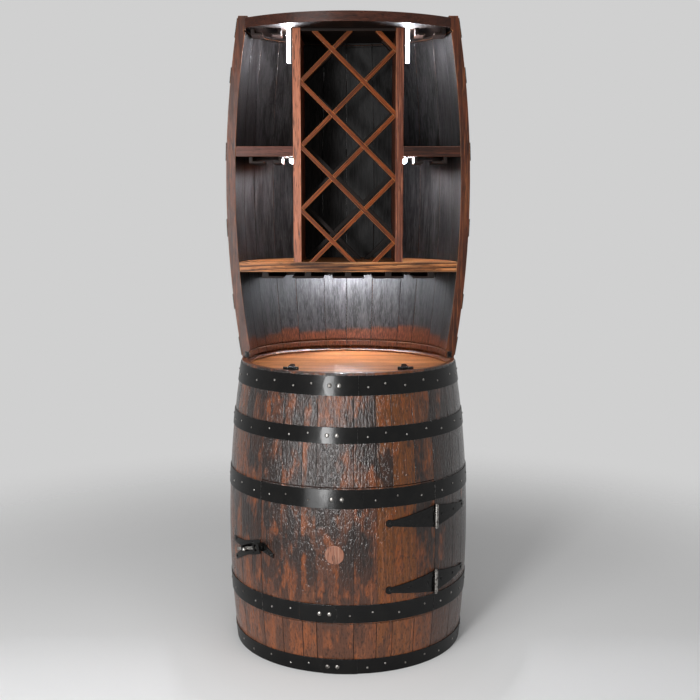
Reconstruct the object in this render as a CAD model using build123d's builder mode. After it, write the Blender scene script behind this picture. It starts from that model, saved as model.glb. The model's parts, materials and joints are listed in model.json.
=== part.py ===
"""Wine rack built from two oak barrels: a half barrel rack standing on a barrel cupboard.

Millimetres, +Z up, the front faces -Y. The origin is the middle of the base, on the floor.
Bearings are degrees around the barrel's axis, from the front towards the right.
"""

import os
from math import asin, ceil, cos, degrees, radians, sin, sqrt, tan

from build123d import *

# Barrel staves
barrel_height = 914.0
bilge_radius = 330.0
bow_rise = 38.0
stave_thickness = 25.0
stave_gap = 0.4
chime_bevel = 14.0
chime_land = 13.0
croze_depth = 4.0
croze_height = 5.0
base_cut = 136.0
full_turn = 360.0
fit_gap = 0.3
front_stave_widths = (11.6, 10.4, 6.8, 17.0, 10.4, 7.6, 11.4, 11.2)
side_stave_ratios = (7, 5, 8, 6, 7, 9, 6, 7, 5, 8, 7, 6, 8, 5, 7, 6, 9, 7, 6, 8)
rack_stave_ratios = (8, 6, 7, 5, 8, 7, 6, 8, 6, 7, 5, 8)

# Hoops, as heights above the bilge line
hoop_thickness = 1.8
hoop_seat = 0.1
head_hoop_width = 50.0
quarter_hoop_width = 41.0
bilge_hoop_width = 48.0
chime_above_hoop = 6.0
quarter_hoop_drop = 303.0
cabinet_bilge_hoop_rise = 143.0
cabinet_bilge_hoop_drop = 156.0
rack_bilge_hoop_rise = 102.0
lap_length = 100.0
lap_round = 30.0
nail_radius = 4.5
nail_height = 2.2
nail_pitch = 62.0
nail_stagger = 4.0
nail_step_ratios = (5, 4, 7, 5, 6, 8, 4, 6)
rivet_radius = 6.0
rivet_height = 2.6
rivet_insets = (20.0, 46.0)

# Door in the front of the cupboard
door_drop = 184.0
door_rise = 172.0
door_gap = 1.5
door_batten_height = 34.0
door_batten_depth = 18.0
door_batten_inset = 60.0
door_stop_width = 26.0
door_stop_depth = 12.0
bung_radius = 24.5
bung_fit = 0.1
bung_proud = 1.6
bung_edge = 1.4

# Strap hinges of the door
strap_length = 151.0
strap_half_height = 30.0
strap_shoulder = 27.0
strap_shoulder_half_height = 24.0
strap_tip_radius = 10.0
strap_neck_half_height = 6.5
strap_thickness = 2.5
plate_seat = 0.1
hinge_rise = 77.0
hinge_drop = 98.0
knuckle_radius = 5.0
knuckle_standoff = 5.3
knuckle_root = 8.0
knuckle_root_thickness = 2.4
knuckle_gap = 0.4
pin_radius = 2.6
pin_clearance = 0.06
pin_head_radius = 3.8
pin_head_height = 2.5
screw_radius = 4.0
screw_height = 1.6
screw_inset = 6.0
strap_screw_distances = (26.0, 82.0, 138.0)

# Slide bolt latch
latch_bearing = -47.5
latch_drop = 13.0
latch_span = 45.0
latch_tilt = 15.0
latch_plate_thickness = 2.0
latch_plate_half_height = 19.0
latch_plate_body = 52.0
latch_tail_reach = 112.0
latch_tail_spread = 25.0
latch_tail_width = 13.0
bolt_radius = 4.2
bolt_standoff = 8.6
bolt_clearance = 0.1
bolt_tip_clearance = 1.5
bolt_travel = 22.0
bolt_knob_radius = 5.0
bolt_knob_stem_radius = 3.0
bolt_knob_reach = 15.0
bolt_knob_position = -14.0
guide_width = 7.0
guide_half_height = 8.5
guide_front = 17.0
guide_rear = -34.0
guide_wall = 3.0
keeper_start = 29.0
keeper_loop_width = 11.0
keeper_half_height = 11.0
keeper_clearance = 0.6
keeper_length = 40.0
keeper_drop = 17.0
keeper_screw_shares = (0.55, 0.85)

# Barrel head with its lift-up front lid
head_thickness = 18.0
head_recess = 19.0
lid_line_setback = 230.0
lid_gap = 0.6
lid_rim_gap = 3.5
lid_rim_edge = 4.0
lid_rim_bevel = 10.0
lid_notch_radius = 20.0
lid_ledge_depth = 22.0
lid_ledge_height = 18.0
lid_ledge_bearing = 32.0
board_gap = 0.3
head_board_seams = (-22.0, 72.0, 164.0)
lid_seam_setback = 144.0
lid_hinge_x = 153.0
lid_hinge_width = 42.0
lid_knuckle_radius = 3.5
lid_knuckle_lift = 0.3
lid_knuckle_share = 17.0
lid_pin_radius = 1.7
lid_leaf_thickness = 1.8
lid_front_leaf_depth = 17.0
lid_tongue_length = 92.0
lid_tongue_root = 26.0
lid_tongue_tip_radius = 6.5
lid_tongue_screws = (28.0, 84.0)
lid_screw_radius = 2.6
lid_screw_height = 1.2

# Inside the cupboard
base_thickness = 18.0
base_board_seams = (-170.0, -56.0, 58.0, 172.0)
cupboard_shelf_drop = 21.0
cupboard_shelf_thickness = 18.0
cupboard_shelf_setback = 134.0
cleat_length = 70.0
cleat_depth = 24.0
cleat_height = 26.0
cleat_bearings = (78.0, 180.0, -78.0)

# Boards of the rack
top_board_thickness = 26.0
top_board_drop = 5.0
top_board_overhang = 105.0
top_board_half_width = 273.0
shelf_thickness = 27.0
main_shelf_drop = 195.0
side_shelf_rise = 116.0
divider_thickness = 21.0
side_bay = 181.5
header_thickness = 8.0

# Bottle lattice
slat_thickness = 11.0
slat_depth = 24.0
lattice_setback = 4.0
lattice_first_node = 56.0
rear_lattice_shift = 190.0
rear_lattice_rise = 19.0

# Stemware rails
rail_height = 18.0
rail_flange = 6.0
rail_web = 18.0
rail_pitch = 110.0
rail_slot = 24.0
rail_setback = 8.0
rail_length = 150.0
rail_wall_gap = 14.0
rail_stop_thickness = 18.0
side_slot_distance = 67.5
side_rail_distance = 29.5
side_rail_wall_gap = 12.0
side_rail_web = 10.0
top_rail_wall_gap = 1.5
side_rail_length = 108.0
top_rail_length = 66.0

# Light bars
light_length = 90.0
light_width = 25.0
spot_width = 12.0
light_base_depth = 6.0
light_lens_depth = 9.0
light_setback = 8.0
light_lens_inset = 2.0

# Feet of the half barrel
foot_plate_height = 16.0
foot_plate_width = 12.0
foot_plate_reach = 10.0
foot_plate_thickness = 1.6

# Sizes that follow from the ones above
half_height = barrel_height / 2
bow_radius = (half_height**2 + bow_rise**2) / (2 * bow_rise)
bow_centre = bilge_radius - bow_radius
cabinet_top = barrel_height - base_cut
cabinet_bilge = half_height - base_cut
rack_top = cabinet_top + barrel_height
rack_bilge = cabinet_top + half_height
door_low = cabinet_bilge - door_drop
door_high = cabinet_bilge + door_rise
latch_z = cabinet_bilge - latch_drop
cupboard_shelf_z = cabinet_bilge - cupboard_shelf_drop
main_shelf_z = rack_bilge - main_shelf_drop
side_shelf_z = rack_bilge + side_shelf_rise
stave_gap_angle = degrees(stave_gap / bilge_radius)
door_angle = sum(front_stave_widths)
door_left = -door_angle / 2
door_right = door_angle / 2
door_gap_angle = degrees(door_gap / bilge_radius)
hoop_outer = hoop_seat + hoop_thickness
lid_line = lid_line_setback - bilge_radius
lid_board_seam = lid_seam_setback - bilge_radius
cupboard_shelf_front = cupboard_shelf_setback - bilge_radius
room_offset = -(stave_thickness + fit_gap)
head_high = cabinet_top - head_recess
head_low = head_high - head_thickness
top_board_high = rack_top - top_board_drop
top_board_low = top_board_high - top_board_thickness
hinge_heights = (cabinet_bilge - hinge_drop, cabinet_bilge + hinge_rise)
plate_outer = plate_seat + strap_thickness


def wall_radius(height, bilge_z, offset=0.0):
    """Radius of the barrel's outer curve at a height, moved outwards by an offset."""
    return bow_centre + sqrt((bow_radius + offset) ** 2 - (height - bilge_z) ** 2)


def bearing_plane(bearing):
    """Upright plane through the barrel's axis, with its x direction pointing outwards."""
    outwards = (sin(radians(bearing)), -cos(radians(bearing)), 0)
    return Plane(origin=(0, 0, 0), x_dir=outwards, z_dir=(outwards[1], -outwards[0], 0))


def facing_plane(bearing, height=0.0, tilt=0.0):
    """Upright plane through the barrel's axis that faces outwards along a bearing."""
    angle = radians(bearing)
    lean = radians(tilt)
    return Plane(
        origin=(0, 0, height),
        x_dir=(cos(angle) * cos(lean), sin(angle) * cos(lean), sin(lean)),
        z_dir=(sin(angle), -cos(angle), 0),
    )


def wall_plane(bearing, height, bilge_z, offset):
    """Plane lying on the barrel's wall, or on a plate on it, that faces outwards."""
    slope = asin((height - bilge_z) / bow_radius)
    angle = radians(bearing)
    radius = bow_centre + (bow_radius + offset) * cos(slope)
    return Plane(
        origin=(
            radius * sin(angle),
            -radius * cos(angle),
            bilge_z + (bow_radius + offset) * sin(slope),
        ),
        x_dir=(cos(angle), sin(angle), 0),
        z_dir=(sin(angle) * cos(slope), -cos(angle) * cos(slope), sin(slope)),
    )


def wall_curve(offset, low, high, bilge_z):
    """Arc of the barrel's bowed outline, in a bearing plane."""
    return ThreePointArc(
        (wall_radius(low, bilge_z, offset), low),
        (wall_radius((low + high) / 2, bilge_z, offset), (low + high) / 2),
        (wall_radius(high, bilge_z, offset), high),
    )


def wall_sector(inner, outer, low, high, bilge_z, start, end, mode=Mode.ADD):
    """Sector of the barrel's wall between two offsets from its outer curve."""
    with BuildSketch(bearing_plane(start)) as section:
        with BuildLine():
            outside = wall_curve(outer, low, high, bilge_z)
            inside = wall_curve(inner, low, high, bilge_z)
            Line(outside @ 0, inside @ 0)
            Line(outside @ 1, inside @ 1)
        make_face()
    revolve(section.sketch, axis=Axis.Z, revolution_arc=end - start, mode=mode)


def bevelled_stave(low, start, end):
    """Cupboard stave that ends at the chime, with the chime's inner bevel."""
    bevel_low = cabinet_top - chime_bevel
    with BuildSketch(bearing_plane(start)) as section:
        with BuildLine():
            outside = wall_curve(0, low, cabinet_top, cabinet_bilge)
            inside = wall_curve(-stave_thickness, low, bevel_low, cabinet_bilge)
            rim = (wall_radius(cabinet_top, cabinet_bilge) - chime_land, cabinet_top)
            Line(outside @ 0, inside @ 0)
            Polyline(inside @ 1, rim, outside @ 1)
        make_face()
    revolve(section.sketch, axis=Axis.Z, revolution_arc=end - start)


def trim_to_room(low, high, bilge_z):
    """Keep only what lies inside the staves, with a fitting gap."""
    with BuildSketch(Plane.XZ) as section:
        with BuildLine():
            wall = wall_curve(room_offset, low, high, bilge_z)
            Polyline(wall @ 0, (0, low), (0, high), wall @ 1)
        make_face()
    revolve(section.sketch, axis=Axis.Z, mode=Mode.INTERSECT)


def stave_spans(first_edge, widths):
    """Bearings of the two sides of each stave in a row, with a joint gap between staves."""
    spans = []
    edge = first_edge
    for width in widths:
        spans.append((edge + stave_gap_angle / 2, edge + width - stave_gap_angle / 2))
        edge += width
    return spans


def shared_out(ratios, total):
    """Stave widths in degrees that keep their ratios and fill a total."""
    return [ratio * total / sum(ratios) for ratio in ratios]


def boards(seams, rim):
    """Sketch of boards along X that fill a round head, split at seams along Y."""
    edges = (-rim, *seams, rim)
    for rear, front in zip(edges[1:], edges[:-1]):
        with Locations((0, (rear + front) / 2)):
            Rectangle(2 * rim, rear - front - board_gap)
    Circle(rim, mode=Mode.INTERSECT)


def nail_bearings(start, end):
    """Unevenly spaced bearings for the nails along a stretch of hoop."""
    count = max(1, round(radians(end - start) * bilge_radius / nail_pitch))
    ratios = [nail_step_ratios[index % len(nail_step_ratios)] for index in range(count)]
    bearings = []
    edge = start
    for step in shared_out(ratios, end - start):
        bearings.append(edge + step / 2)
        edge += step
    return bearings


def nails(height, bilge_z, bearings):
    """Domed nail heads along a hoop, staggered up and down."""
    planes = []
    for index, bearing in enumerate(bearings):
        shift = nail_stagger if index % 2 else -nail_stagger
        planes.append(wall_plane(bearing, height + shift, bilge_z, hoop_outer))
    with Locations(*planes):
        Cone(nail_radius, nail_radius / 2, nail_height, align=(Align.CENTER, Align.CENTER, Align.MIN))


def screws(planes, radius, height):
    """Pan-headed screws standing on a plate."""
    with Locations(*planes):
        Cylinder(radius, height, align=(Align.CENTER, Align.CENTER, Align.MIN))


# Hoop heights: low edge, high edge
head_hoop = (cabinet_top - chime_above_hoop - head_hoop_width, cabinet_top - chime_above_hoop)
quarter_hoop = (
    cabinet_bilge + quarter_hoop_drop - quarter_hoop_width / 2,
    cabinet_bilge + quarter_hoop_drop + quarter_hoop_width / 2,
)
upper_bilge_hoop = (
    cabinet_bilge + cabinet_bilge_hoop_rise - bilge_hoop_width / 2,
    cabinet_bilge + cabinet_bilge_hoop_rise + bilge_hoop_width / 2,
)
lower_bilge_hoop = (
    cabinet_bilge - cabinet_bilge_hoop_drop - bilge_hoop_width / 2,
    cabinet_bilge - cabinet_bilge_hoop_drop + bilge_hoop_width / 2,
)
foot_hoop = (0.0, quarter_hoop_width)

# Laps, as the side that the rounded end points to and its distance round the front
head_lap = (-1, -71.0)
quarter_lap = (-1, -75.0)
upper_bilge_lap = (-1, -62.0)
lower_bilge_lap = (1, -28.0)
foot_lap = (-1, -75.0)

# Cupboard staves: full height at the sides and back, cut above and below the door
front_spans = stave_spans(door_left, front_stave_widths)
side_widths = shared_out(side_stave_ratios, full_turn - door_angle)
croze_low = head_low - fit_gap
croze_high = head_high + fit_gap

with BuildPart() as side_staves:
    for start, end in stave_spans(door_right, side_widths):
        bevelled_stave(0, start, end)
    wall_sector(
        -stave_thickness - croze_depth, -stave_thickness + croze_depth,
        croze_low, croze_high, cabinet_bilge, 0, full_turn, mode=Mode.SUBTRACT,
    )

with BuildPart() as staves_above_door:
    for start, end in front_spans:
        bevelled_stave(door_high, start, end)
    wall_sector(
        -stave_thickness - croze_depth, -stave_thickness + croze_depth,
        croze_low, croze_high, cabinet_bilge, 0, full_turn, mode=Mode.SUBTRACT,
    )

with BuildPart() as staves_below_door:
    for start, end in front_spans:
        wall_sector(-stave_thickness, 0, 0, door_low, cabinet_bilge, start, end)

# Door staves and the bung in the widest one
door_start = door_left + door_gap_angle
door_end = door_right - door_gap_angle
bung_bearing = sum(front_spans[3]) / 2

with BuildPart() as door_staves:
    for start, end in front_spans:
        wall_sector(
            -stave_thickness, 0, door_low + door_gap, door_high - door_gap,
            cabinet_bilge, max(start, door_start), min(end, door_end),
        )
    with Locations(facing_plane(bung_bearing, cabinet_bilge)):
        Cylinder(
            bung_radius + bung_fit, 2 * bilge_radius,
            align=(Align.CENTER, Align.CENTER, Align.MIN), mode=Mode.SUBTRACT,
        )

with BuildPart() as bung:
    with Locations(wall_plane(bung_bearing, cabinet_bilge, cabinet_bilge, -stave_thickness)):
        Cylinder(
            bung_radius, stave_thickness + bung_proud,
            align=(Align.CENTER, Align.CENTER, Align.MIN),
        )
    fillet(bung.edges().group_by(SortBy.DISTANCE)[-1], bung_edge)

with BuildPart() as door_battens:
    for batten_z in (door_low + door_batten_inset, door_high - door_batten_inset):
        wall_sector(
            room_offset - door_batten_depth, room_offset,
            batten_z - door_batten_height / 2, batten_z + door_batten_height / 2, cabinet_bilge,
            door_start + degrees(door_stop_width / bilge_radius),
            door_end - degrees(door_stop_width / bilge_radius),
        )

with BuildPart() as door_stop:
    stop_half_angle = degrees(door_stop_width / 2 / bilge_radius)
    wall_sector(
        room_offset - door_stop_depth, room_offset, door_low + door_gap, door_high - door_gap,
        cabinet_bilge, door_left - stop_half_angle, door_left + stop_half_angle,
    )


# Cupboard hoops: closed rings with a riveted lap, and open ones that stop at the door
def lap_span(side, tip):
    """Bearings of a lap's two ends, in rising order."""
    tail = tip - side * lap_length
    return sorted((degrees(tip / bilge_radius), degrees(tail / bilge_radius)))


def lapped_hoop(low, high, start, end, side, tip):
    """Hoop between two bearings, with a lap at the front that ends in a shallow round."""
    wall_sector(hoop_outer, hoop_outer + hoop_thickness, low, high, cabinet_bilge, *lap_span(side, tip))
    with BuildSketch(facing_plane(degrees(tip / bilge_radius))) as outline:
        with Locations((-side * lap_round, (low + high) / 2)):
            Circle(lap_round)
            Rectangle(
                2 * lap_length, 2 * lap_round,
                align=(Align.MIN if side < 0 else Align.MAX, Align.CENTER),
            )
    extrude(outline.sketch, amount=2 * bilge_radius, mode=Mode.INTERSECT)
    wall_sector(hoop_seat, hoop_outer, low, high, cabinet_bilge, start, end)


with BuildPart() as cabinet_head_hoop:
    lapped_hoop(*head_hoop, 0, full_turn, *head_lap)

with BuildPart() as cabinet_quarter_hoop:
    lapped_hoop(*quarter_hoop, 0, full_turn, *quarter_lap)

with BuildPart() as cabinet_foot_hoop:
    lapped_hoop(*foot_hoop, 0, full_turn, *foot_lap)

with BuildPart() as cabinet_upper_bilge_hoop:
    wall_sector(
        hoop_seat, hoop_outer, *upper_bilge_hoop, cabinet_bilge, door_right, full_turn + door_left,
    )

with BuildPart() as cabinet_lower_bilge_hoop:
    wall_sector(
        hoop_seat, hoop_outer, *lower_bilge_hoop, cabinet_bilge, door_right, full_turn + door_left,
    )

with BuildPart() as door_upper_bilge_hoop:
    lapped_hoop(*upper_bilge_hoop, door_start, door_end, *upper_bilge_lap)

with BuildPart() as door_lower_bilge_hoop:
    lapped_hoop(*lower_bilge_hoop, door_start, door_end, *lower_bilge_lap)

with BuildPart() as cabinet_hoop_nails:
    for hoop, lap in ((head_hoop, head_lap), (quarter_hoop, quarter_lap), (foot_hoop, foot_lap)):
        lap_begin, lap_end = lap_span(*lap)
        nails(sum(hoop) / 2, cabinet_bilge, nail_bearings(lap_end, full_turn + lap_begin))
    for hoop in (upper_bilge_hoop, lower_bilge_hoop):
        nails(sum(hoop) / 2, cabinet_bilge, nail_bearings(door_right, full_turn + door_left))

with BuildPart() as door_hoop_nails:
    for hoop, lap in ((upper_bilge_hoop, upper_bilge_lap), (lower_bilge_hoop, lower_bilge_lap)):
        lap_begin, lap_end = lap_span(*lap)
        nails(sum(hoop) / 2, cabinet_bilge, nail_bearings(door_start, lap_begin))
        nails(sum(hoop) / 2, cabinet_bilge, nail_bearings(lap_end, door_end))


def lap_rivets(hoop, side, tip):
    """Two rivets side by side through a hoop's lap, near its rounded end."""
    planes = []
    for inset in rivet_insets:
        bearing = degrees((tip - side * inset) / bilge_radius)
        planes.append(wall_plane(bearing, sum(hoop) / 2, cabinet_bilge, hoop_outer + hoop_thickness))
    with Locations(*planes):
        Cone(rivet_radius, rivet_radius / 2, rivet_height, align=(Align.CENTER, Align.CENTER, Align.MIN))


with BuildPart() as cabinet_hoop_rivets:
    lap_rivets(head_hoop, *head_lap)
    lap_rivets(quarter_hoop, *quarter_lap)
    lap_rivets(foot_hoop, *foot_lap)

with BuildPart() as door_hoop_rivets:
    lap_rivets(upper_bilge_hoop, *upper_bilge_lap)
    lap_rivets(lower_bilge_hoop, *lower_bilge_lap)

# Door hinges: two tapered straps on each, with knuckles around a pin at the door's right edge
hinge_bearing = (door_end + door_right) / 2
hinge_radius = bilge_radius + knuckle_standoff
hinge_x = hinge_radius * sin(radians(hinge_bearing))
hinge_y = -hinge_radius * cos(radians(hinge_bearing))
knuckle_length = (2 * strap_half_height - 2 * knuckle_gap) / 3
knuckle_step = knuckle_length + knuckle_gap


def knuckle(height, radius, length, mode=Mode.ADD):
    """Upright cylinder on the door's hinge axis."""
    with Locations((hinge_x, hinge_y, height)):
        Cylinder(radius, length, mode=mode)


def strap_leaves(side, own_steps, other_steps):
    """Tapered straps of both hinges on one side, with their knuckles and pin holes."""
    reach = degrees(strap_length / bilge_radius)
    middle = hinge_bearing + side * reach / 2
    span = sorted((hinge_bearing, hinge_bearing + side * reach))
    for height in hinge_heights:
        wall_sector(
            plate_seat, plate_outer, height - strap_half_height, height + strap_half_height,
            cabinet_bilge, *span,
        )
    with BuildSketch(facing_plane(middle)) as outlines:
        for height in hinge_heights:
            pin_end = -side * strap_length / 2
            shoulder = pin_end + side * strap_shoulder
            tip = side * strap_length / 2
            with BuildLine():
                top = Polyline(
                    (pin_end, height + strap_half_height),
                    (shoulder, height + strap_shoulder_half_height),
                    (tip - side * strap_tip_radius, height + strap_neck_half_height),
                )
                low = Polyline(
                    (pin_end, height - strap_half_height),
                    (shoulder, height - strap_shoulder_half_height),
                    (tip - side * strap_tip_radius, height - strap_neck_half_height),
                )
                Line(top @ 1, low @ 1)
                Line(top @ 0, low @ 0)
            make_face()
            with Locations((tip - side * strap_tip_radius, height)):
                Circle(strap_tip_radius)
    extrude(outlines.sketch, amount=2 * bilge_radius, mode=Mode.INTERSECT)
    root = sorted((hinge_bearing, hinge_bearing + side * degrees(knuckle_root / bilge_radius)))
    for height in hinge_heights:
        for step in own_steps:
            middle_z = height + step * knuckle_step
            wall_sector(
                plate_seat, plate_outer + knuckle_root_thickness, middle_z - knuckle_length / 2,
                middle_z + knuckle_length / 2, cabinet_bilge, *root,
            )
        for step in other_steps:
            knuckle(
                height + step * knuckle_step, knuckle_radius + knuckle_gap,
                knuckle_length + 2 * knuckle_gap, mode=Mode.SUBTRACT,
            )
        for step in own_steps:
            knuckle(height + step * knuckle_step, knuckle_radius, knuckle_length)
        knuckle(height, pin_radius + pin_clearance, 3 * knuckle_step, mode=Mode.SUBTRACT)


def strap_screw_planes(side):
    """Places of the three screws along each strap on one side."""
    planes = []
    for height in hinge_heights:
        for distance in strap_screw_distances:
            bearing = hinge_bearing + side * degrees(distance / bilge_radius)
            planes.append(wall_plane(bearing, height, cabinet_bilge, plate_outer))
    return planes


with BuildPart() as door_hinge_straps:
    strap_leaves(-1, (0,), (-1, 1))

with BuildPart() as jamb_hinge_straps:
    strap_leaves(1, (-1, 1), (0,))

with BuildPart() as door_hinge_pins:
    for height in hinge_heights:
        knuckle(height, pin_radius, 2 * strap_half_height)
        for end in (-1, 1):
            head_shift = strap_half_height + pin_head_height / 2
            knuckle(height + end * head_shift, pin_head_radius, pin_head_height)

# Latch: a swallow-tailed plate with two guides, a sliding bolt, and a keeper on the door
latch_plane = facing_plane(latch_bearing, latch_z, latch_tilt)
bolt_line = bilge_radius + latch_plate_thickness + bolt_standoff
latch_plate_outer = plate_seat + latch_plate_thickness
latch_edge = bolt_line * tan(radians(door_left - latch_bearing)) / cos(radians(latch_tilt))
bolt_tip = latch_edge - bolt_tip_clearance
bolt_tail = guide_width / 2 - guide_rear + bolt_travel
bolt_reach = bolt_line - bilge_radius + bolt_radius + guide_wall


def along_bolt(position):
    """Plane across the bolt's axis at a position along it, facing the way that it shuts."""
    origin = latch_plane.from_local_coords((position, 0, bolt_line))
    return Plane(origin=origin, x_dir=latch_plane.y_dir, z_dir=latch_plane.x_dir)


def bolt_loop(start, width, half_height):
    """Solid block from the wall to just past the bolt, for a guide or the keeper."""
    with BuildSketch(latch_plane.offset(bilge_radius - stave_thickness)) as footprint:
        with Locations((start + width / 2, 0)):
            RectangleRounded(width, 2 * half_height, width / 4)
    extrude(footprint.sketch, amount=stave_thickness + bolt_reach)
    wall_sector(
        -2 * stave_thickness, plate_seat, door_low, door_high, cabinet_bilge,
        latch_bearing - latch_span, latch_bearing + latch_span, mode=Mode.SUBTRACT,
    )


with BuildPart() as latch_plate:
    wall_sector(
        plate_seat, latch_plate_outer, door_low, door_high, cabinet_bilge,
        latch_bearing - latch_span, door_left - door_gap_angle,
    )
    with BuildSketch(latch_plane) as tail_outline:
        with BuildLine():
            Polyline(
                (2 * latch_edge, latch_plate_half_height),
                (-latch_plate_body + latch_tail_width, latch_plate_half_height),
                (-latch_tail_reach, latch_tail_spread + latch_tail_width / 2),
                (-latch_tail_reach, latch_tail_spread - latch_tail_width / 2),
                (-latch_plate_body, 0),
                (-latch_tail_reach, -latch_tail_spread + latch_tail_width / 2),
                (-latch_tail_reach, -latch_tail_spread - latch_tail_width / 2),
                (-latch_plate_body + latch_tail_width, -latch_plate_half_height),
                (2 * latch_edge, -latch_plate_half_height),
                close=True,
            )
        make_face()
    extrude(amount=2 * bilge_radius, mode=Mode.INTERSECT)
    for guide in (guide_rear, guide_front):
        bolt_loop(guide - guide_width / 2, guide_width, guide_half_height)
    with Locations(along_bolt(-latch_tail_reach)):
        Cylinder(
            bolt_radius + bolt_clearance, latch_tail_reach + 2 * latch_edge,
            align=(Align.CENTER, Align.CENTER, Align.MIN), mode=Mode.SUBTRACT,
        )

with BuildPart() as latch_bolt:
    with Locations(along_bolt(-bolt_tail)):
        Cylinder(bolt_radius, bolt_tail + bolt_tip, align=(Align.CENTER, Align.CENTER, Align.MIN))
    knob_foot = latch_plane.from_local_coords((bolt_knob_position, 0, bolt_line))
    with Locations(Plane(origin=knob_foot, x_dir=latch_plane.x_dir, z_dir=latch_plane.z_dir)):
        Cylinder(bolt_knob_stem_radius, bolt_knob_reach, align=(Align.CENTER, Align.CENTER, Align.MIN))
        with Locations((0, 0, bolt_knob_reach)):
            Sphere(bolt_knob_radius)

with BuildPart() as latch_keeper:
    keeper_plane = facing_plane(latch_bearing, latch_z)
    keeper_rise = keeper_start * tan(radians(latch_tilt))
    wall_sector(
        plate_seat, latch_plate_outer, door_low, door_high, cabinet_bilge, door_start, 0,
    )
    with BuildSketch(keeper_plane) as keeper_outline:
        with BuildLine():
            Polyline(
                (keeper_start, keeper_rise + keeper_half_height),
                (keeper_start + keeper_loop_width, keeper_rise + keeper_half_height),
                (keeper_start + keeper_length, keeper_rise - keeper_drop + keeper_half_height / 2),
                (keeper_start + keeper_length, keeper_rise - keeper_drop - keeper_half_height / 2),
                (keeper_start, keeper_rise - keeper_half_height),
                close=True,
            )
        make_face()
    extrude(amount=2 * bilge_radius, mode=Mode.INTERSECT)
    bolt_loop(keeper_start, keeper_loop_width, keeper_half_height)
    with Locations(along_bolt(0)):
        Cylinder(
            bolt_radius + keeper_clearance, 4 * latch_edge,
            align=(Align.CENTER, Align.CENTER, Align.MIN), mode=Mode.SUBTRACT,
        )

# Barrel head: fixed boards in the croze, and a front lid on two small hinges
head_radius = wall_radius(head_high, cabinet_bilge, -stave_thickness)
fixed_head_radius = head_radius + croze_depth - 2 * fit_gap
lid_radius = head_radius - lid_rim_gap
lid_rear = lid_line - lid_gap

with BuildPart() as head_boards:
    with BuildSketch(Plane.XY.offset(head_low)):
        boards((lid_line, *head_board_seams), fixed_head_radius)
        with Locations((0, lid_line)):
            Rectangle(
                2 * fixed_head_radius, 2 * fixed_head_radius,
                align=(Align.CENTER, Align.MIN), mode=Mode.INTERSECT,
            )
    extrude(amount=head_thickness)

with BuildPart() as lid_boards:
    with BuildSketch(Plane.XY.offset(head_low)):
        boards((lid_board_seam,), lid_radius)
        with Locations((0, lid_rear)):
            Rectangle(
                2 * lid_radius, 2 * lid_radius, align=(Align.CENTER, Align.MAX), mode=Mode.INTERSECT,
            )
        with Locations((0, -lid_radius)):
            Circle(lid_notch_radius, mode=Mode.SUBTRACT)
    extrude(amount=head_thickness)
    with BuildSketch(Plane.XZ):
        with BuildLine():
            Polyline(
                (0, head_low), (lid_radius - lid_rim_bevel, head_low),
                (lid_radius, head_high - lid_rim_edge), (lid_radius, head_high), (0, head_high),
                close=True,
            )
        make_face()
    revolve(axis=Axis.Z, mode=Mode.INTERSECT)

with BuildPart() as lid_batten:
    with BuildSketch(Plane.XY.offset(head_low)):
        with Locations((0, lid_board_seam)):
            with GridLocations(lid_hinge_x, 0, 2, 1):
                Rectangle(lid_ledge_depth, 2 * lid_ledge_depth)
    extrude(amount=-lid_ledge_height / 2)

with BuildPart() as lid_ledge:
    wall_sector(
        room_offset - lid_ledge_depth, room_offset, head_low - fit_gap - lid_ledge_height,
        head_low - fit_gap, cabinet_bilge, -lid_ledge_bearing, lid_ledge_bearing,
    )

lid_pin_y = (lid_line + lid_rear) / 2
lid_pin_z = head_high + lid_knuckle_radius + lid_knuckle_lift
lid_hinge_places = (-lid_hinge_x, lid_hinge_x)
lid_side_share = (lid_hinge_width - lid_knuckle_share) / 2 - knuckle_gap
lid_side_shift = (lid_knuckle_share + lid_side_share) / 2 + knuckle_gap


def lid_knuckle(x, radius, length, mode=Mode.ADD):
    """Cylinder along X on the lid's hinge axis."""
    with Locations(Location((x, lid_pin_y, lid_pin_z), (0, 90, 0))):
        Cylinder(radius, length, mode=mode)


def lid_knuckles(edge, own, other):
    """Strip and knuckles of both lid hinges on one side of the seam, with their pin holes."""
    for place in lid_hinge_places:
        with Locations((place, lid_pin_y, head_high)):
            Box(
                lid_hinge_width, lid_knuckle_radius * 2, lid_leaf_thickness,
                align=(Align.CENTER, edge, Align.MIN),
            )
        for shift, length in other:
            lid_knuckle(
                place + shift, lid_knuckle_radius + knuckle_gap, length + 2 * knuckle_gap,
                mode=Mode.SUBTRACT,
            )
        for shift, length in own:
            lid_knuckle(place + shift, lid_knuckle_radius, length)
        lid_knuckle(place, lid_pin_radius + pin_clearance, 2 * lid_hinge_width, mode=Mode.SUBTRACT)


lid_knuckles_middle = ((0.0, lid_knuckle_share),)
lid_knuckles_sides = ((-lid_side_shift, lid_side_share), (lid_side_shift, lid_side_share))

with BuildPart() as lid_front_leaves:
    with BuildSketch(Plane.XY.offset(head_high)):
        with Locations((-lid_hinge_x, lid_pin_y), (lid_hinge_x, lid_pin_y)):
            Rectangle(lid_hinge_width, lid_front_leaf_depth, align=(Align.CENTER, Align.MAX))
    extrude(amount=lid_leaf_thickness)
    lid_knuckles(Align.MAX, lid_knuckles_middle, lid_knuckles_sides)

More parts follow.
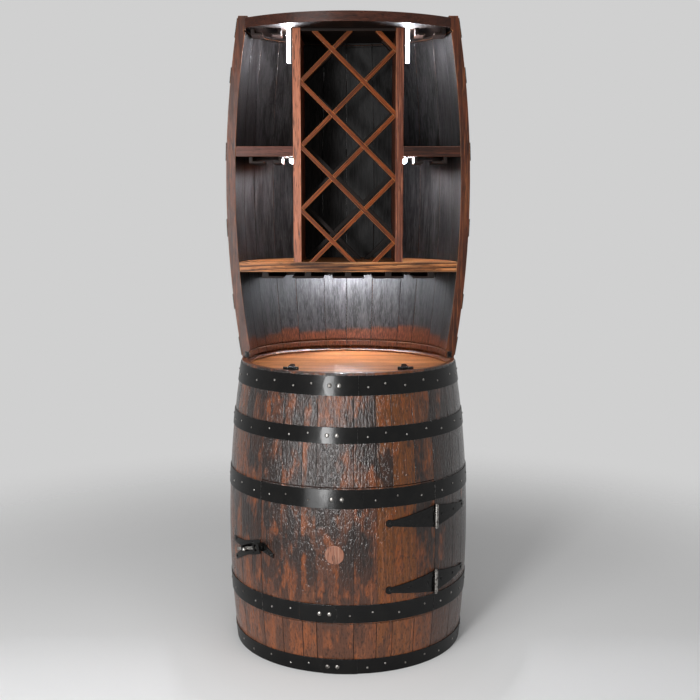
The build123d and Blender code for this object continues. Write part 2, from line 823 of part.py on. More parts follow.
with BuildPart() as lid_rear_leaves:
    tongue_end = lid_pin_y + lid_tongue_length - lid_tongue_tip_radius
    with BuildSketch(Plane.XY.offset(head_high)):
        for place in lid_hinge_places:
            with BuildLine():
                Polyline(
                    (place - lid_tongue_root / 2, lid_pin_y), (place + lid_tongue_root / 2, lid_pin_y),
                    (place + lid_tongue_tip_radius, tongue_end),
                    (place - lid_tongue_tip_radius, tongue_end),
                    close=True,
                )
            make_face()
            with Locations((place, tongue_end)):
                Circle(lid_tongue_tip_radius)
    extrude(amount=lid_leaf_thickness)
    lid_knuckles(Align.MIN, lid_knuckles_sides, lid_knuckles_middle)

with BuildPart() as lid_hinge_pins:
    for place in lid_hinge_places:
        lid_knuckle(place, lid_pin_radius, lid_hinge_width)

lid_screw_z = head_high + lid_leaf_thickness

with BuildPart() as lid_screws:
    screw_y = lid_pin_y - (lid_knuckle_radius + lid_front_leaf_depth) / 2
    with Locations((0, screw_y, lid_screw_z)):
        with GridLocations(2 * lid_hinge_x, 0, 2, 1):
            with GridLocations(lid_hinge_width / 3, 0, 3, 1):
                Cylinder(
                    lid_screw_radius, lid_screw_height,
                    align=(Align.CENTER, Align.CENTER, Align.MIN),
                )


def latch_screw_plane(along, across):
    """Place of a screw on the latch's plate, from the middle of its bolt."""
    middle = latch_plane.from_local_coords((along, across, 0))
    turn = degrees(asin(along * cos(radians(latch_tilt)) / bilge_radius))
    return wall_plane(latch_bearing + turn, middle.Z, cabinet_bilge, latch_plate_outer)


# Door screws: three along each strap, two along the latch's keeper
with BuildPart() as door_screws:
    planes = strap_screw_planes(-1)
    for share in keeper_screw_shares:
        run = keeper_start + share * keeper_length
        bearing = latch_bearing + degrees(asin(run / bilge_radius))
        height = latch_z + keeper_rise - share * keeper_drop
        planes.append(wall_plane(bearing, height, cabinet_bilge, latch_plate_outer))
    screws(planes, screw_radius, screw_height)

# Inside the cupboard: base, shelf and cleats
base_radius = wall_radius(0, cabinet_bilge, room_offset)

with BuildPart() as base_boards:
    with BuildSketch(Plane.XY):
        boards(base_board_seams, base_radius)
    extrude(amount=base_thickness)

with BuildPart() as cupboard_shelf:
    with BuildSketch(Plane.XY.offset(cupboard_shelf_z - cupboard_shelf_thickness)):
        with Locations((0, cupboard_shelf_front)):
            Rectangle(2 * bilge_radius, 2 * bilge_radius, align=(Align.CENTER, Align.MIN))
    extrude(amount=cupboard_shelf_thickness)
    trim_to_room(0, cabinet_top, cabinet_bilge)

with BuildPart() as shelf_cleats:
    cleat_top = cupboard_shelf_z - cupboard_shelf_thickness
    for bearing in cleat_bearings:
        half_angle = degrees(cleat_length / 2 / bilge_radius)
        wall_sector(
            room_offset - cleat_depth, room_offset, cleat_top - cleat_height, cleat_top,
            cabinet_bilge, bearing - half_angle, bearing + half_angle,
        )

# Half barrel of the rack: staves with a croze at both ends, and six half hoops
with BuildPart() as rack_staves:
    for start, end in stave_spans(90, shared_out(rack_stave_ratios, 180)):
        wall_sector(-stave_thickness, 0, cabinet_top, rack_top, rack_bilge, start, end)
    for croze_z in (cabinet_top + head_recess, rack_top - head_recess - head_thickness):
        wall_sector(
            -stave_thickness - croze_depth, -stave_thickness + croze_depth, croze_z - croze_height,
            croze_z, rack_bilge, 0, full_turn, mode=Mode.SUBTRACT,
        )


def half_hoops(rise, width):
    """Pair of half hoops at equal heights above and below the rack's bilge."""
    for middle in (rack_bilge - rise, rack_bilge + rise):
        wall_sector(hoop_seat, hoop_outer, middle - width / 2, middle + width / 2, rack_bilge, 90, 270)


head_hoop_rise = half_height - chime_above_hoop - head_hoop_width / 2

with BuildPart() as rack_hoops:
    half_hoops(head_hoop_rise, head_hoop_width)
    half_hoops(quarter_hoop_drop, quarter_hoop_width)
    half_hoops(rack_bilge_hoop_rise, bilge_hoop_width)

with BuildPart() as rack_hoop_nails:
    for rise in (head_hoop_rise, quarter_hoop_drop, rack_bilge_hoop_rise):
        for middle in (rack_bilge - rise, rack_bilge + rise):
            nails(middle, rack_bilge, nail_bearings(90, 270))

# Boards of the rack
with BuildPart() as top_board:
    with BuildSketch(Plane.XY.offset(top_board_low)):
        Rectangle(2 * bilge_radius, bilge_radius, align=(Align.CENTER, Align.MIN))
    extrude(amount=top_board_thickness)
    trim_to_room(top_board_low, top_board_high, rack_bilge)
    with BuildSketch(Plane.XY.offset(top_board_low)):
        with BuildLine():
            front_arc = ThreePointArc(
                (-top_board_half_width, 0), (0, -top_board_overhang), (top_board_half_width, 0)
            )
            Line(front_arc @ 0, front_arc @ 1)
        make_face()
    extrude(amount=top_board_thickness)

with BuildPart() as main_shelf:
    with BuildSketch(Plane.XY.offset(main_shelf_z - shelf_thickness)):
        Rectangle(2 * bilge_radius, bilge_radius, align=(Align.CENTER, Align.MIN))
    extrude(amount=shelf_thickness)
    trim_to_room(cabinet_top, rack_top, rack_bilge)

divider_outer = bilge_radius - side_bay
divider_inner = divider_outer - divider_thickness
rack_clear_width = 2 * divider_inner


def divider(side):
    """Upright board beside the bottle lattice."""
    with BuildSketch(Plane.XY.offset(main_shelf_z)) as plan:
        with Locations((side * (divider_inner + divider_thickness / 2), 0)):
            Rectangle(divider_thickness, bilge_radius, align=(Align.CENTER, Align.MIN))
    extrude(plan.sketch, amount=top_board_low - main_shelf_z)
    trim_to_room(cabinet_top, rack_top, rack_bilge)


def side_shelf(side):
    """Shelf between a divider and the staves."""
    edge = Align.MIN if side > 0 else Align.MAX
    with BuildSketch(Plane.XY.offset(side_shelf_z - shelf_thickness)) as plan:
        with Locations((side * divider_outer, 0)):
            Rectangle(bilge_radius, bilge_radius, align=(edge, Align.MIN))
    extrude(plan.sketch, amount=shelf_thickness)
    trim_to_room(cabinet_top, rack_top, rack_bilge)


with BuildPart() as divider_left:
    divider(-1)

with BuildPart() as divider_right:
    divider(1)

with BuildPart() as side_shelf_left:
    side_shelf(-1)

with BuildPart() as side_shelf_right:
    side_shelf(1)

header_low = top_board_low - header_thickness

with BuildPart() as lattice_header:
    with BuildSketch(Plane.XY.offset(header_low)):
        Rectangle(rack_clear_width, rear_lattice_shift + slat_depth, align=(Align.CENTER, Align.MIN))
    extrude(amount=header_thickness)

# Bottle lattice: two crossed layers of halved slats, the rear pair raised so that necks tilt down
half_pitch = rack_clear_width / 3


def slats(front, rise, slope):
    """Sketch of the parallel slats in one direction, trimmed to the opening between the dividers."""
    first_node = main_shelf_z + lattice_first_node + rise
    slat_count = ceil((header_low - first_node) / (2 * half_pitch)) + 1
    if slope < 0:
        first_node += half_pitch
    with BuildSketch(Plane.XZ.offset(-front)) as sketch:
        for index in range(slat_count):
            with Locations((0, first_node + 2 * half_pitch * index - rack_clear_width / 2)):
                Rectangle(3 * rack_clear_width, slat_thickness, rotation=45 * slope)
        with Locations((0, (main_shelf_z + header_low) / 2)):
            Rectangle(rack_clear_width, header_low - main_shelf_z, mode=Mode.INTERSECT)
    return sketch.sketch


def falling_slats(front, rise):
    """Slats that fall to the right, notched at the back."""
    extrude(slats(front, rise, -1), amount=-slat_depth)
    extrude(slats(front + slat_depth / 2, rise, 1), amount=-slat_depth / 2, mode=Mode.SUBTRACT)


def rising_slats(front, rise):
    """Slats that rise to the right, notched at the front."""
    extrude(slats(front, rise, 1), amount=-slat_depth)
    extrude(slats(front, rise, -1), amount=-slat_depth / 2, mode=Mode.SUBTRACT)


rear_front = lattice_setback + rear_lattice_shift - slat_depth

with BuildPart() as front_lattice_falling:
    falling_slats(lattice_setback, 0)

with BuildPart() as front_lattice_rising:
    rising_slats(lattice_setback, 0)

with BuildPart() as rear_lattice_falling:
    falling_slats(rear_front, rear_lattice_rise)

with BuildPart() as rear_lattice_rising:
    rising_slats(rear_front, rear_lattice_rise)


# Stemware rails: inverted T sections that carry a glass by its foot
def rail(top, web_left, web_right, flange_left, flange_right, length):
    """Rail along Y that hangs from a board's underside."""
    low = top - rail_height
    with BuildSketch(Plane.XZ.offset(-rail_setback)) as section:
        with BuildLine():
            Polyline(
                (web_left, top), (web_right, top), (web_right, low + rail_flange),
                (flange_right, low + rail_flange), (flange_right, low), (flange_left, low),
                (flange_left, low + rail_flange), (web_left, low + rail_flange),
                close=True,
            )
        make_face()
    extrude(section.sketch, amount=-length)


def end_rail(top, side, web_edge, slot_edge, web, length):
    """Rail with a flange on one side only, towards the slot."""
    low = top - rail_height
    web_inner = web_edge + web if slot_edge > web_edge else web_edge - web
    with BuildSketch(Plane.XZ.offset(-rail_setback)) as section:
        with BuildLine():
            Polyline(
                (side * web_edge, top), (side * web_inner, top), (side * web_inner, low + rail_flange),
                (side * slot_edge, low + rail_flange), (side * slot_edge, low), (side * web_edge, low),
                close=True,
            )
        make_face()
    extrude(section.sketch, amount=-length)


def room_half_width(top, depth, wall_gap):
    """Half the room between the staves at a depth behind the front, less a gap."""
    return sqrt(wall_radius(top, rack_bilge, room_offset) ** 2 - depth**2) - wall_gap


rail_flange_half = (rail_pitch - rail_slot) / 2
main_rail_top = main_shelf_z - shelf_thickness
side_rail_top = side_shelf_z - shelf_thickness
rail_half_span = room_half_width(main_rail_top, rail_setback + rail_length, rail_wall_gap)
side_rail_outer = room_half_width(side_rail_top, rail_setback + side_rail_length, side_rail_wall_gap)
top_rail_outer = room_half_width(top_board_low, rail_setback + top_rail_length, top_rail_wall_gap)
side_rail_inner = divider_outer + side_rail_distance
side_slot_x = divider_outer + side_slot_distance

with BuildPart() as main_stem_rails:
    for index in (-1, 0, 1):
        middle = index * rail_pitch
        rail(
            main_rail_top, middle - rail_web / 2, middle + rail_web / 2,
            middle - rail_flange_half, middle + rail_flange_half, rail_length,
        )
    for side in (-1, 1):
        slot_edge = 2 * rail_pitch - rail_flange_half
        end_rail(main_rail_top, side, rail_half_span, slot_edge, rail_web, rail_length)

with BuildPart() as rail_stop:
    with Locations((0, rail_setback + rail_length, main_rail_top)):
        Box(
            2 * rail_half_span, rail_stop_thickness, rail_height,
            align=(Align.CENTER, Align.MIN, Align.MAX),
        )
    trim_to_room(cabinet_top, rack_top, rack_bilge)

with BuildPart() as side_stem_rails:
    for side in (-1, 1):
        for web_edge, shift in ((side_rail_inner, -rail_slot / 2), (side_rail_outer, rail_slot / 2)):
            end_rail(side_rail_top, side, web_edge, side_slot_x + shift, side_rail_web, side_rail_length)

with BuildPart() as top_stem_rails:
    for side in (-1, 1):
        for web_edge, shift in ((side_rail_inner, -rail_slot / 2), (top_rail_outer, rail_slot / 2)):
            end_rail(top_board_low, side, web_edge, side_slot_x + shift, side_rail_web, top_rail_length)


# Light bars: upright ones on the dividers, level ones under the side shelves and the main shelf
def light_bars(near, depth, inset):
    """Blocks of all the light bars between two distances from the board that carries them."""
    width = light_width - 2 * inset
    length = light_length - 2 * inset
    behind_stop = rail_setback + rail_length + rail_stop_thickness + light_setback + light_width / 2
    with Locations((0, behind_stop, main_rail_top - near - depth / 2)):
        Box(length, width, depth)
    for side in (-1, 1):
        upright_x = side * (divider_outer + near + depth / 2)
        with Locations((upright_x, light_setback + light_width / 2, top_board_low - light_length / 2)):
            Box(depth, width, length)
        level_x = side * (divider_outer + spot_width / 2)
        with Locations((level_x, light_setback + light_length / 2, side_rail_top - near - depth / 2)):
            Box(spot_width - 2 * inset, length, depth)


with BuildPart() as light_bases:
    light_bars(0, light_base_depth, 0)

with BuildPart() as light_lenses:
    light_bars(light_base_depth, light_lens_depth, light_lens_inset)
    fillet(light_lenses.edges(), light_lens_inset)

# Angle plates at the feet of the half barrel
foot_x = wall_radius(cabinet_top, rack_bilge) - stave_thickness / 2

with BuildPart() as foot_plates:
    with Locations((-foot_x, 0, cabinet_top), (foot_x, 0, cabinet_top)):
        Box(
            foot_plate_width, foot_plate_thickness, foot_plate_height,
            align=(Align.CENTER, Align.MAX, Align.MIN),
        )
        Box(
            foot_plate_width, foot_plate_reach, foot_plate_thickness,
            align=(Align.CENTER, Align.MAX, Align.MIN),
        )

# Cabinet screws: jamb straps, latch plate, rear leaves of the lid's hinges and the angle plates
with BuildPart() as cabinet_screws:
    tail_screw = latch_tail_reach - latch_tail_width
    corner_screw = latch_plate_half_height - screw_inset
    planes = strap_screw_planes(1)
    for side in (-1, 1):
        planes.append(latch_screw_plane(-tail_screw, side * latch_tail_spread))
        planes.append(latch_screw_plane((guide_front + guide_rear) / 2, side * corner_screw))
    screws(planes, screw_radius, screw_height)
    small_planes = []
    for side in (-1, 1):
        for distance in lid_tongue_screws:
            tongue_place = (side * lid_hinge_x, lid_pin_y + distance, lid_screw_z)
            small_planes.append(Plane(origin=tongue_place))
        foot_z = cabinet_top + foot_plate_height - 2 * lid_screw_radius
        foot_place = (side * foot_x, -foot_plate_thickness, foot_z)
        small_planes.append(Plane(origin=foot_place, z_dir=(0, -1, 0)))
    screws(small_planes, lid_screw_radius, lid_screw_height)

pieces = {
    "side_staves": side_staves,
    "staves_above_door": staves_above_door,
    "staves_below_door": staves_below_door,
    "door_staves": door_staves,
    "bung": bung,
    "door_battens": door_battens,
    "door_stop": door_stop,
    "cabinet_head_hoop": cabinet_head_hoop,
    "cabinet_quarter_hoop": cabinet_quarter_hoop,
    "cabinet_upper_bilge_hoop": cabinet_upper_bilge_hoop,
    "cabinet_lower_bilge_hoop": cabinet_lower_bilge_hoop,
    "cabinet_foot_hoop": cabinet_foot_hoop,
    "door_upper_bilge_hoop": door_upper_bilge_hoop,
    "door_lower_bilge_hoop": door_lower_bilge_hoop,
    "cabinet_hoop_nails": cabinet_hoop_nails,
    "door_hoop_nails": door_hoop_nails,
    "cabinet_hoop_rivets": cabinet_hoop_rivets,
    "door_hoop_rivets": door_hoop_rivets,
    "door_hinge_straps": door_hinge_straps,
    "jamb_hinge_straps": jamb_hinge_straps,
    "door_hinge_pins": door_hinge_pins,
    "door_screws": door_screws,
    "latch_plate": latch_plate,
    "latch_bolt": latch_bolt,
    "latch_keeper": latch_keeper,
    "head_boards": head_boards,
    "lid_boards": lid_boards,
    "lid_batten": lid_batten,
    "lid_ledge": lid_ledge,
    "lid_front_leaves": lid_front_leaves,
    "lid_rear_leaves": lid_rear_leaves,
    "lid_hinge_pins": lid_hinge_pins,
    "lid_screws": lid_screws,
    "base_boards": base_boards,
    "cupboard_shelf": cupboard_shelf,
    "shelf_cleats": shelf_cleats,
    "rack_staves": rack_staves,
    "rack_hoops": rack_hoops,
    "rack_hoop_nails": rack_hoop_nails,
    "top_board": top_board,
    "main_shelf": main_shelf,
    "divider_left": divider_left,
    "divider_right": divider_right,
    "side_shelf_left": side_shelf_left,
    "side_shelf_right": side_shelf_right,
    "lattice_header": lattice_header,
    "front_lattice_falling": front_lattice_falling,
    "front_lattice_rising": front_lattice_rising,
    "rear_lattice_falling": rear_lattice_falling,
    "rear_lattice_rising": rear_lattice_rising,
    "main_stem_rails": main_stem_rails,
    "rail_stop": rail_stop,
    "side_stem_rails": side_stem_rails,
    "top_stem_rails": top_stem_rails,
    "light_bases": light_bases,
    "light_lenses": light_lenses,
    "foot_plates": foot_plates,
    "cabinet_screws": cabinet_screws,
}

os.makedirs("parts", exist_ok=True)
for name, piece in pieces.items():
    piece.part.label = name
    export_step(piece.part, f"parts/{name}.step")
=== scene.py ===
"""Finish of a wine rack made from two oak barrels: timber, hoops, fastenings, lights and stage."""

import json
import math
import random

import bmesh
import bpy
import numpy as np
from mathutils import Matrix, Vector

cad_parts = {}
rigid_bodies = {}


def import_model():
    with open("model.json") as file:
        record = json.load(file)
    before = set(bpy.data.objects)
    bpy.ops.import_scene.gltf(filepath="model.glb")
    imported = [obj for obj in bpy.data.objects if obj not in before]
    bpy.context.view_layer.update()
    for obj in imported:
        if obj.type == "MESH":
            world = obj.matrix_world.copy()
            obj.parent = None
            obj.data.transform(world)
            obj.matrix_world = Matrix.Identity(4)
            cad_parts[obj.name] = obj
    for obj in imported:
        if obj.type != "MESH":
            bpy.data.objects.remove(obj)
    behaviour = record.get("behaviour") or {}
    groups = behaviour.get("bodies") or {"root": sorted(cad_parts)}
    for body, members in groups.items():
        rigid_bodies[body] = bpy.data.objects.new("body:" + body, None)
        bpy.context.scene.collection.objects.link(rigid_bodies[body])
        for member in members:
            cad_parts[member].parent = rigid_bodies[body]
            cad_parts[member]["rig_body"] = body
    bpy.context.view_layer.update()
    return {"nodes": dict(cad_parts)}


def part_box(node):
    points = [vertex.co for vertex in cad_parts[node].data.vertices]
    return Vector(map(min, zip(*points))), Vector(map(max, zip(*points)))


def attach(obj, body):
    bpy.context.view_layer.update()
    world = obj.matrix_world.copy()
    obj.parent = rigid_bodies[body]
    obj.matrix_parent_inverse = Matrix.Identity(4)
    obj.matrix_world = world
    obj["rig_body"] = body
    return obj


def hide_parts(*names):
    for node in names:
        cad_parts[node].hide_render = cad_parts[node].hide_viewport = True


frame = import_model()

bl_info = {
    "name": "Barrel Wine Rack",
    "version": (1, 0, 0),
    "blender": (4, 5, 0),
    "location": "View3D > Sidebar > Wine Rack",
    "description": "Dresses a wine rack built from two oak barrels",
    "category": "Object",
}

MM = 0.001
MERGE_DISTANCE = 0.01 * MM
FLAT_ANGLE = math.radians(0.2)
EASED_ANGLE = math.radians(32)
SHARP_ANGLE = math.radians(50)
KNUCKLE_REACH = 5.3 * MM
WAVE_PERIOD = math.pi / 10
GRAIN_UP = (0.0, 0.0, 0.0)
GRAIN_ACROSS = (0.0, -math.pi / 2, 0.0)
GRAIN_BACK = (math.pi / 2, 0.0, 0.0)
GRAIN_RISING = (0.0, -math.pi / 4, 0.0)
GRAIN_FALLING = (0.0, math.pi / 4, 0.0)
PORE_BLACK = "#0b0604"

# A face counts as looking one way when the cosine of its angle to that way is past this
FACING_OUT = 0.6
FACING_UP = 0.7
UPRIGHT_AXIS = 0.9

# Growth rings are this many times longer than wide, and shallower by this share
RING_STRETCH = 26
RING_DEPTH = 0.6

# A screw's slot in shares of the head's radius and height
SLOT_SIZE = (2.4, 0.32, 0.9)
SLOT_LIFT = (0.0, 0.0, 0.95)

# Staves are painted paler below this height as a painted sheen, and the char ends in a ragged band above the
# rack's foot
PAINTED_SHEEN_HEIGHT = 0.36
CHAR_LOW = 24 * MM
CHAR_HIGH = 40 * MM
CHAR_STEP = 26 * MM
CHAR_FRAY = 14 * MM

# The floor is a disc that fades out between two distances from its middle
FLOOR_RADIUS = 3.0
FLOOR_FADE = (0.9, 2.4)

# Softboxes: name, place, aim, width and height, and the setting that holds the power
SOFTBOXES = (
    ("key_softbox", (-1.9, -2.8, 2.5), (0.0, 0.0, 0.9), (1.3, 1.3), "key_power"),
    ("strip_softbox", (-1.1, -3.1, 0.95), (0.0, 0.0, 0.75), (0.5, 1.9), "strip_power"),
    ("low_softbox", (-0.9, -1.8, 0.25), (0.0, 0.0, 0.35), (0.6, 0.4), "low_power"),
    ("top_softbox", (0.2, -0.8, 3.4), (0.0, 0.0, 0.9), (1.8, 1.8), "top_power"),
)

# Tones of the staves, in order of their bearing: smoky below 0, amber at 1
FRONT_TONES = (0.25, 0.1, 0.45, 0.2, 0.3, 0.95, 0.9, 0.55)
LEFT_TONES = (0.3, 0.05, 0.45, 0.2, 0.55, 0.15, 0.35, 0.25, 0.5, 0.2)
# The right-hand staves take low, smoky tones as painted shade, for the side turned away from the key light
SHADED_RIGHT_TONES = (-0.6, -0.9, -0.5, -0.8, -0.6, -0.9, -0.7, -0.5, -0.8, -0.6)

rack_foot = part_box("rack_staves")[0].z
head_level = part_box("head_boards")[1].z
main_shelf_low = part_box("main_shelf")[0].z
side_shelf_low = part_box("side_shelf_left")[0].z
hinge_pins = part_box("door_hinge_pins")


def linear(code):
    """Linear colour of an sRGB hex code."""
    values = [int(code[place:place + 2], 16) / 255 for place in (1, 3, 5)]
    return tuple(v / 12.92 if v <= 0.04045 else ((v + 0.055) / 1.055) ** 2.4 for v in values)


class EdgeSettings(bpy.types.PropertyGroup):
    """How far the edges of each kind of piece are eased."""

    stave: bpy.props.FloatProperty(
        name="Stave Edge", description="Eased edge along the staves", default=1.0 * MM, unit="LENGTH")
    board: bpy.props.FloatProperty(
        name="Board Edge", description="Eased edge of shelves and rails", default=1.2 * MM, unit="LENGTH")
    slat: bpy.props.FloatProperty(
        name="Slat Edge", description="Eased edge of the lattice slats", default=0.7 * MM, unit="LENGTH")
    metal: bpy.props.FloatProperty(
        name="Metal Edge", description="Eased edge of hoops and straps", default=0.4 * MM, unit="LENGTH")


class FastenerSettings(bpy.types.PropertyGroup):
    """Sizes of the nail, rivet and screw heads."""

    nail_radius: bpy.props.FloatProperty(
        name="Nail Radius", description="Radius of a hoop nail's head", default=2.9 * MM, unit="LENGTH")
    nail_height: bpy.props.FloatProperty(
        name="Nail Height", description="Height of a hoop nail's head", default=1.8 * MM, unit="LENGTH")
    rivet_radius: bpy.props.FloatProperty(
        name="Rivet Radius", description="Radius of a lap rivet's head", default=6.0 * MM, unit="LENGTH")
    rivet_height: bpy.props.FloatProperty(
        name="Rivet Height", description="Height of a lap rivet's head", default=2.6 * MM, unit="LENGTH")
    screw_radius: bpy.props.FloatProperty(
        name="Screw Radius", description="Radius of a strap screw's head", default=4.0 * MM, unit="LENGTH")
    screw_height: bpy.props.FloatProperty(
        name="Screw Height", description="Height of a strap screw's head", default=1.9 * MM, unit="LENGTH")
    small_screw_radius: bpy.props.FloatProperty(
        name="Small Screw Radius", description="Radius of a lid screw's head", default=2.6 * MM,
        unit="LENGTH")
    seed: bpy.props.IntProperty(
        name="Seed", description="Seed of the heads' uneven turn and size", default=7)


class StageSettings(bpy.types.PropertyGroup):
    """Camera, floor and lamps."""

    camera_place: bpy.props.FloatVectorProperty(
        name="Camera Place", description="Where the camera stands", default=(0.005, -2.933, 1.183),
        subtype="TRANSLATION")
    camera_tilt: bpy.props.FloatProperty(
        name="Camera Tilt", description="How far the camera looks down", default=math.radians(7.48),
        subtype="ANGLE")
    lens: bpy.props.FloatProperty(
        name="Lens", description="Focal length in millimetres on a 36 mm sensor", default=55.13)
    backdrop: bpy.props.FloatVectorProperty(
        name="Backdrop", description="Pale grey behind the object", default=linear("#d0d0d0"),
        size=3, subtype="COLOR")
    floor: bpy.props.FloatVectorProperty(
        name="Floor", description="Pale grey floor", default=linear("#e6e6e6"), size=3, subtype="COLOR")
    key_power: bpy.props.FloatProperty(
        name="Key Power", description="Power of the front softbox", default=26.0, unit="POWER")
    strip_power: bpy.props.FloatProperty(
        name="Strip Power", description="Power of the tall strip softbox", default=92.0, unit="POWER")
    top_power: bpy.props.FloatProperty(
        name="Top Power", description="Power of the overhead softbox", default=25.0, unit="POWER")
    low_power: bpy.props.FloatProperty(
        name="Low Power", description="Power of the softbox near the floor", default=6.0, unit="POWER")
    room_light: bpy.props.FloatProperty(
        name="Room Light", description="Strength of the light from all round", default=0.26)
    top_glow: bpy.props.FloatProperty(
        name="Top Glow", description="Strength of the glow under the top board", default=330.0)
    side_glow: bpy.props.FloatProperty(
        name="Side Glow", description="Strength of the glow under the side shelves", default=860.0)
    shelf_glow: bpy.props.FloatProperty(
        name="Shelf Glow", description="Strength of the glow under the main shelf", default=560.0)


class RackSettings(bpy.types.PropertyGroup):
    """All sizes and colours of the finish."""

    edges: bpy.props.PointerProperty(type=EdgeSettings, name="Edges", description="Eased edges")
    fasteners: bpy.props.PointerProperty(
        type=FastenerSettings, name="Fasteners", description="Nail, rivet and screw heads")
    stage: bpy.props.PointerProperty(type=StageSettings, name="Stage", description="Camera and light")


def node(tree, kind, inputs=None, **settings):
    """Add a node with its settings, and set or link its inputs by name or place."""
    made = tree.nodes.new(kind)
    for name, value in settings.items():
        setattr(made, name, value)
    for key, value in (inputs or {}).items():
        if isinstance(value, bpy.types.NodeSocket):
            tree.links.new(value, made.inputs[key])
        else:
            made.inputs[key].default_value = value
    return made


def new_material(name):
    """Empty node material with its shader."""
    made = bpy.data.materials.new(name)
    made.use_nodes = True
    tree = made.node_tree
    return made, tree, tree.nodes["Principled BSDF"]


def rgba(colour):
    """Shader colour of a hex code; a socket stays as it is."""
    return colour if isinstance(colour, bpy.types.NodeSocket) else (*linear(colour), 1.0)


def stained(tree, ground, mask, colour, low, high, share=1.0):
    """Ground with a colour laid over it as a mask rises from one value to another."""
    cover = node(tree, "ShaderNodeMapRange", {0: mask, 1: low, 2: high, 3: 0.0, 4: share},
                 interpolation_type="SMOOTHSTEP").outputs[0]
    inputs = {0: cover, 6: rgba(ground), 7: rgba(colour)}
    return node(tree, "ShaderNodeMix", inputs, data_type="RGBA").outputs[2]


def surfaced(tree, shader, colour, sheen, gloss, height, depth):
    """Give a shader its colour, a roughness that follows a pattern, and a carved height."""
    tree.links.new(colour, shader.inputs["Base Color"])
    rough = node(tree, "ShaderNodeMapRange", {0: sheen, 1: 0.3, 2: 0.7, 3: gloss[0], 4: gloss[1]})
    tree.links.new(rough.outputs[0], shader.inputs["Roughness"])
    bump = node(tree, "ShaderNodeBump", {"Strength": 0.8, "Distance": depth * MM, "Height": height})
    tree.links.new(bump.outputs[0], shader.inputs["Normal"])
    tree.links.new(bump.outputs[0], shader.inputs["Coat Normal"])


def per_mm(*sizes):
    """Texture scale for pattern sizes in millimetres."""
    return tuple(1 / (size * MM) for size in sizes)


def mottle(tree, size, detail):
    """Even noise in object coordinates, from a size in millimetres."""
    place = node(tree, "ShaderNodeTexCoord").outputs["Object"]
    inputs = {"Vector": place, "Scale": 1 / (size * MM), "Detail": detail}
    return node(tree, "ShaderNodeTexNoise", inputs).outputs[0]


def object_level(tree):
    """Height above the floor, in metres."""
    place = node(tree, "ShaderNodeTexCoord").outputs["Object"]
    return node(tree, "ShaderNodeSeparateXYZ", {0: place}).outputs["Z"]


def timber_place(tree, turn):
    """Object coordinates of a board, shifted for each board, with the grain turned to Z."""
    place = node(tree, "ShaderNodeTexCoord").outputs["Object"]
    shift = node(tree, "ShaderNodeAttribute", attribute_name="shift").outputs["Vector"]
    moved = node(tree, "ShaderNodeVectorMath", {0: place, 1: shift}, operation="ADD").outputs[0]
    return node(tree, "ShaderNodeMapping", {"Vector": moved, "Rotation": turn}).outputs[0]


def stretched_noise(tree, place, across, along, detail):
    """Noise drawn out along the grain, from two sizes in millimetres."""
    scaled = node(tree, "ShaderNodeMapping", {"Vector": place, "Scale": per_mm(across, across, along)})
    inputs = {"Vector": scaled.outputs[0], "Scale": 1.0, "Detail": detail, "Roughness": 0.62}
    return node(tree, "ShaderNodeTexNoise", inputs).outputs[0]


def growth_rings(tree, place, ring):
    """Growth rings cut lengthwise, drawn out along the grain, from their spacing in millimetres."""
    across = WAVE_PERIOD / (ring * MM)
    scale = (across, RING_DEPTH * across, across / RING_STRETCH)
    scaled = node(tree, "ShaderNodeMapping", {"Vector": place, "Scale": scale})
    return node(tree, "ShaderNodeTexWave", {
        "Vector": scaled.outputs[0], "Scale": 1.0, "Distortion": 6.0, "Detail": 2.0, "Detail Scale": 0.7,
    }, bands_direction="DIAGONAL", wave_profile="SAW").outputs[1]


def timber(name, colours, turn=GRAIN_UP, ring=9.0, ring_share=0.5, patch_share=0.6, edge_share=0.4,
           relief=0.4, gloss=(0.4, 0.6), coat=0.1):
    """Timber with fibres, growth rings, open pores and a tone of its own for each board."""
    dark, middle, light, warm, edge_colour = colours
    made, tree, shader = new_material(name)
    place = timber_place(tree, turn)
    fibres = stretched_noise(tree, place, 3.2, 150, 5.0)
    patches = stretched_noise(tree, place, 30, 170, 2.0)
    pores = stretched_noise(tree, place, 2.0, 36, 2.0)
    tone = node(tree, "ShaderNodeAttribute", attribute_name="tone").outputs["Fac"]
    edge = node(tree, "ShaderNodeAttribute", attribute_name="edge").outputs["Fac"]
    colour = stained(tree, middle, tone, warm, 0.0, 1.0)
    colour = stained(tree, colour, patches, dark, 0.43, 0.6, patch_share)
    colour = stained(tree, colour, fibres, light, 0.5, 0.66, 0.7)
    colour = stained(tree, colour, growth_rings(tree, place, ring), dark, 0.3, 0.95, ring_share)
    colour = stained(tree, colour, pores, PORE_BLACK, 0.54, 0.64, 0.75)
    # Eased edges take each board's edge colour: a painted highlight on the slats and sawn stave ends,
    # painted shade round the bung
    colour = stained(tree, colour, edge, edge_colour, 0.0, 1.0, edge_share)
    height = node(tree, "ShaderNodeMath", {0: fibres, 1: pores}, operation="SUBTRACT").outputs[0]
    surfaced(tree, shader, colour, fibres, gloss, height, relief)
    shader.inputs["Specular IOR Level"].default_value = 0.12
    shader.inputs["Coat Weight"].default_value = coat
    shader.inputs["Coat Roughness"].default_value = 0.16
    return made


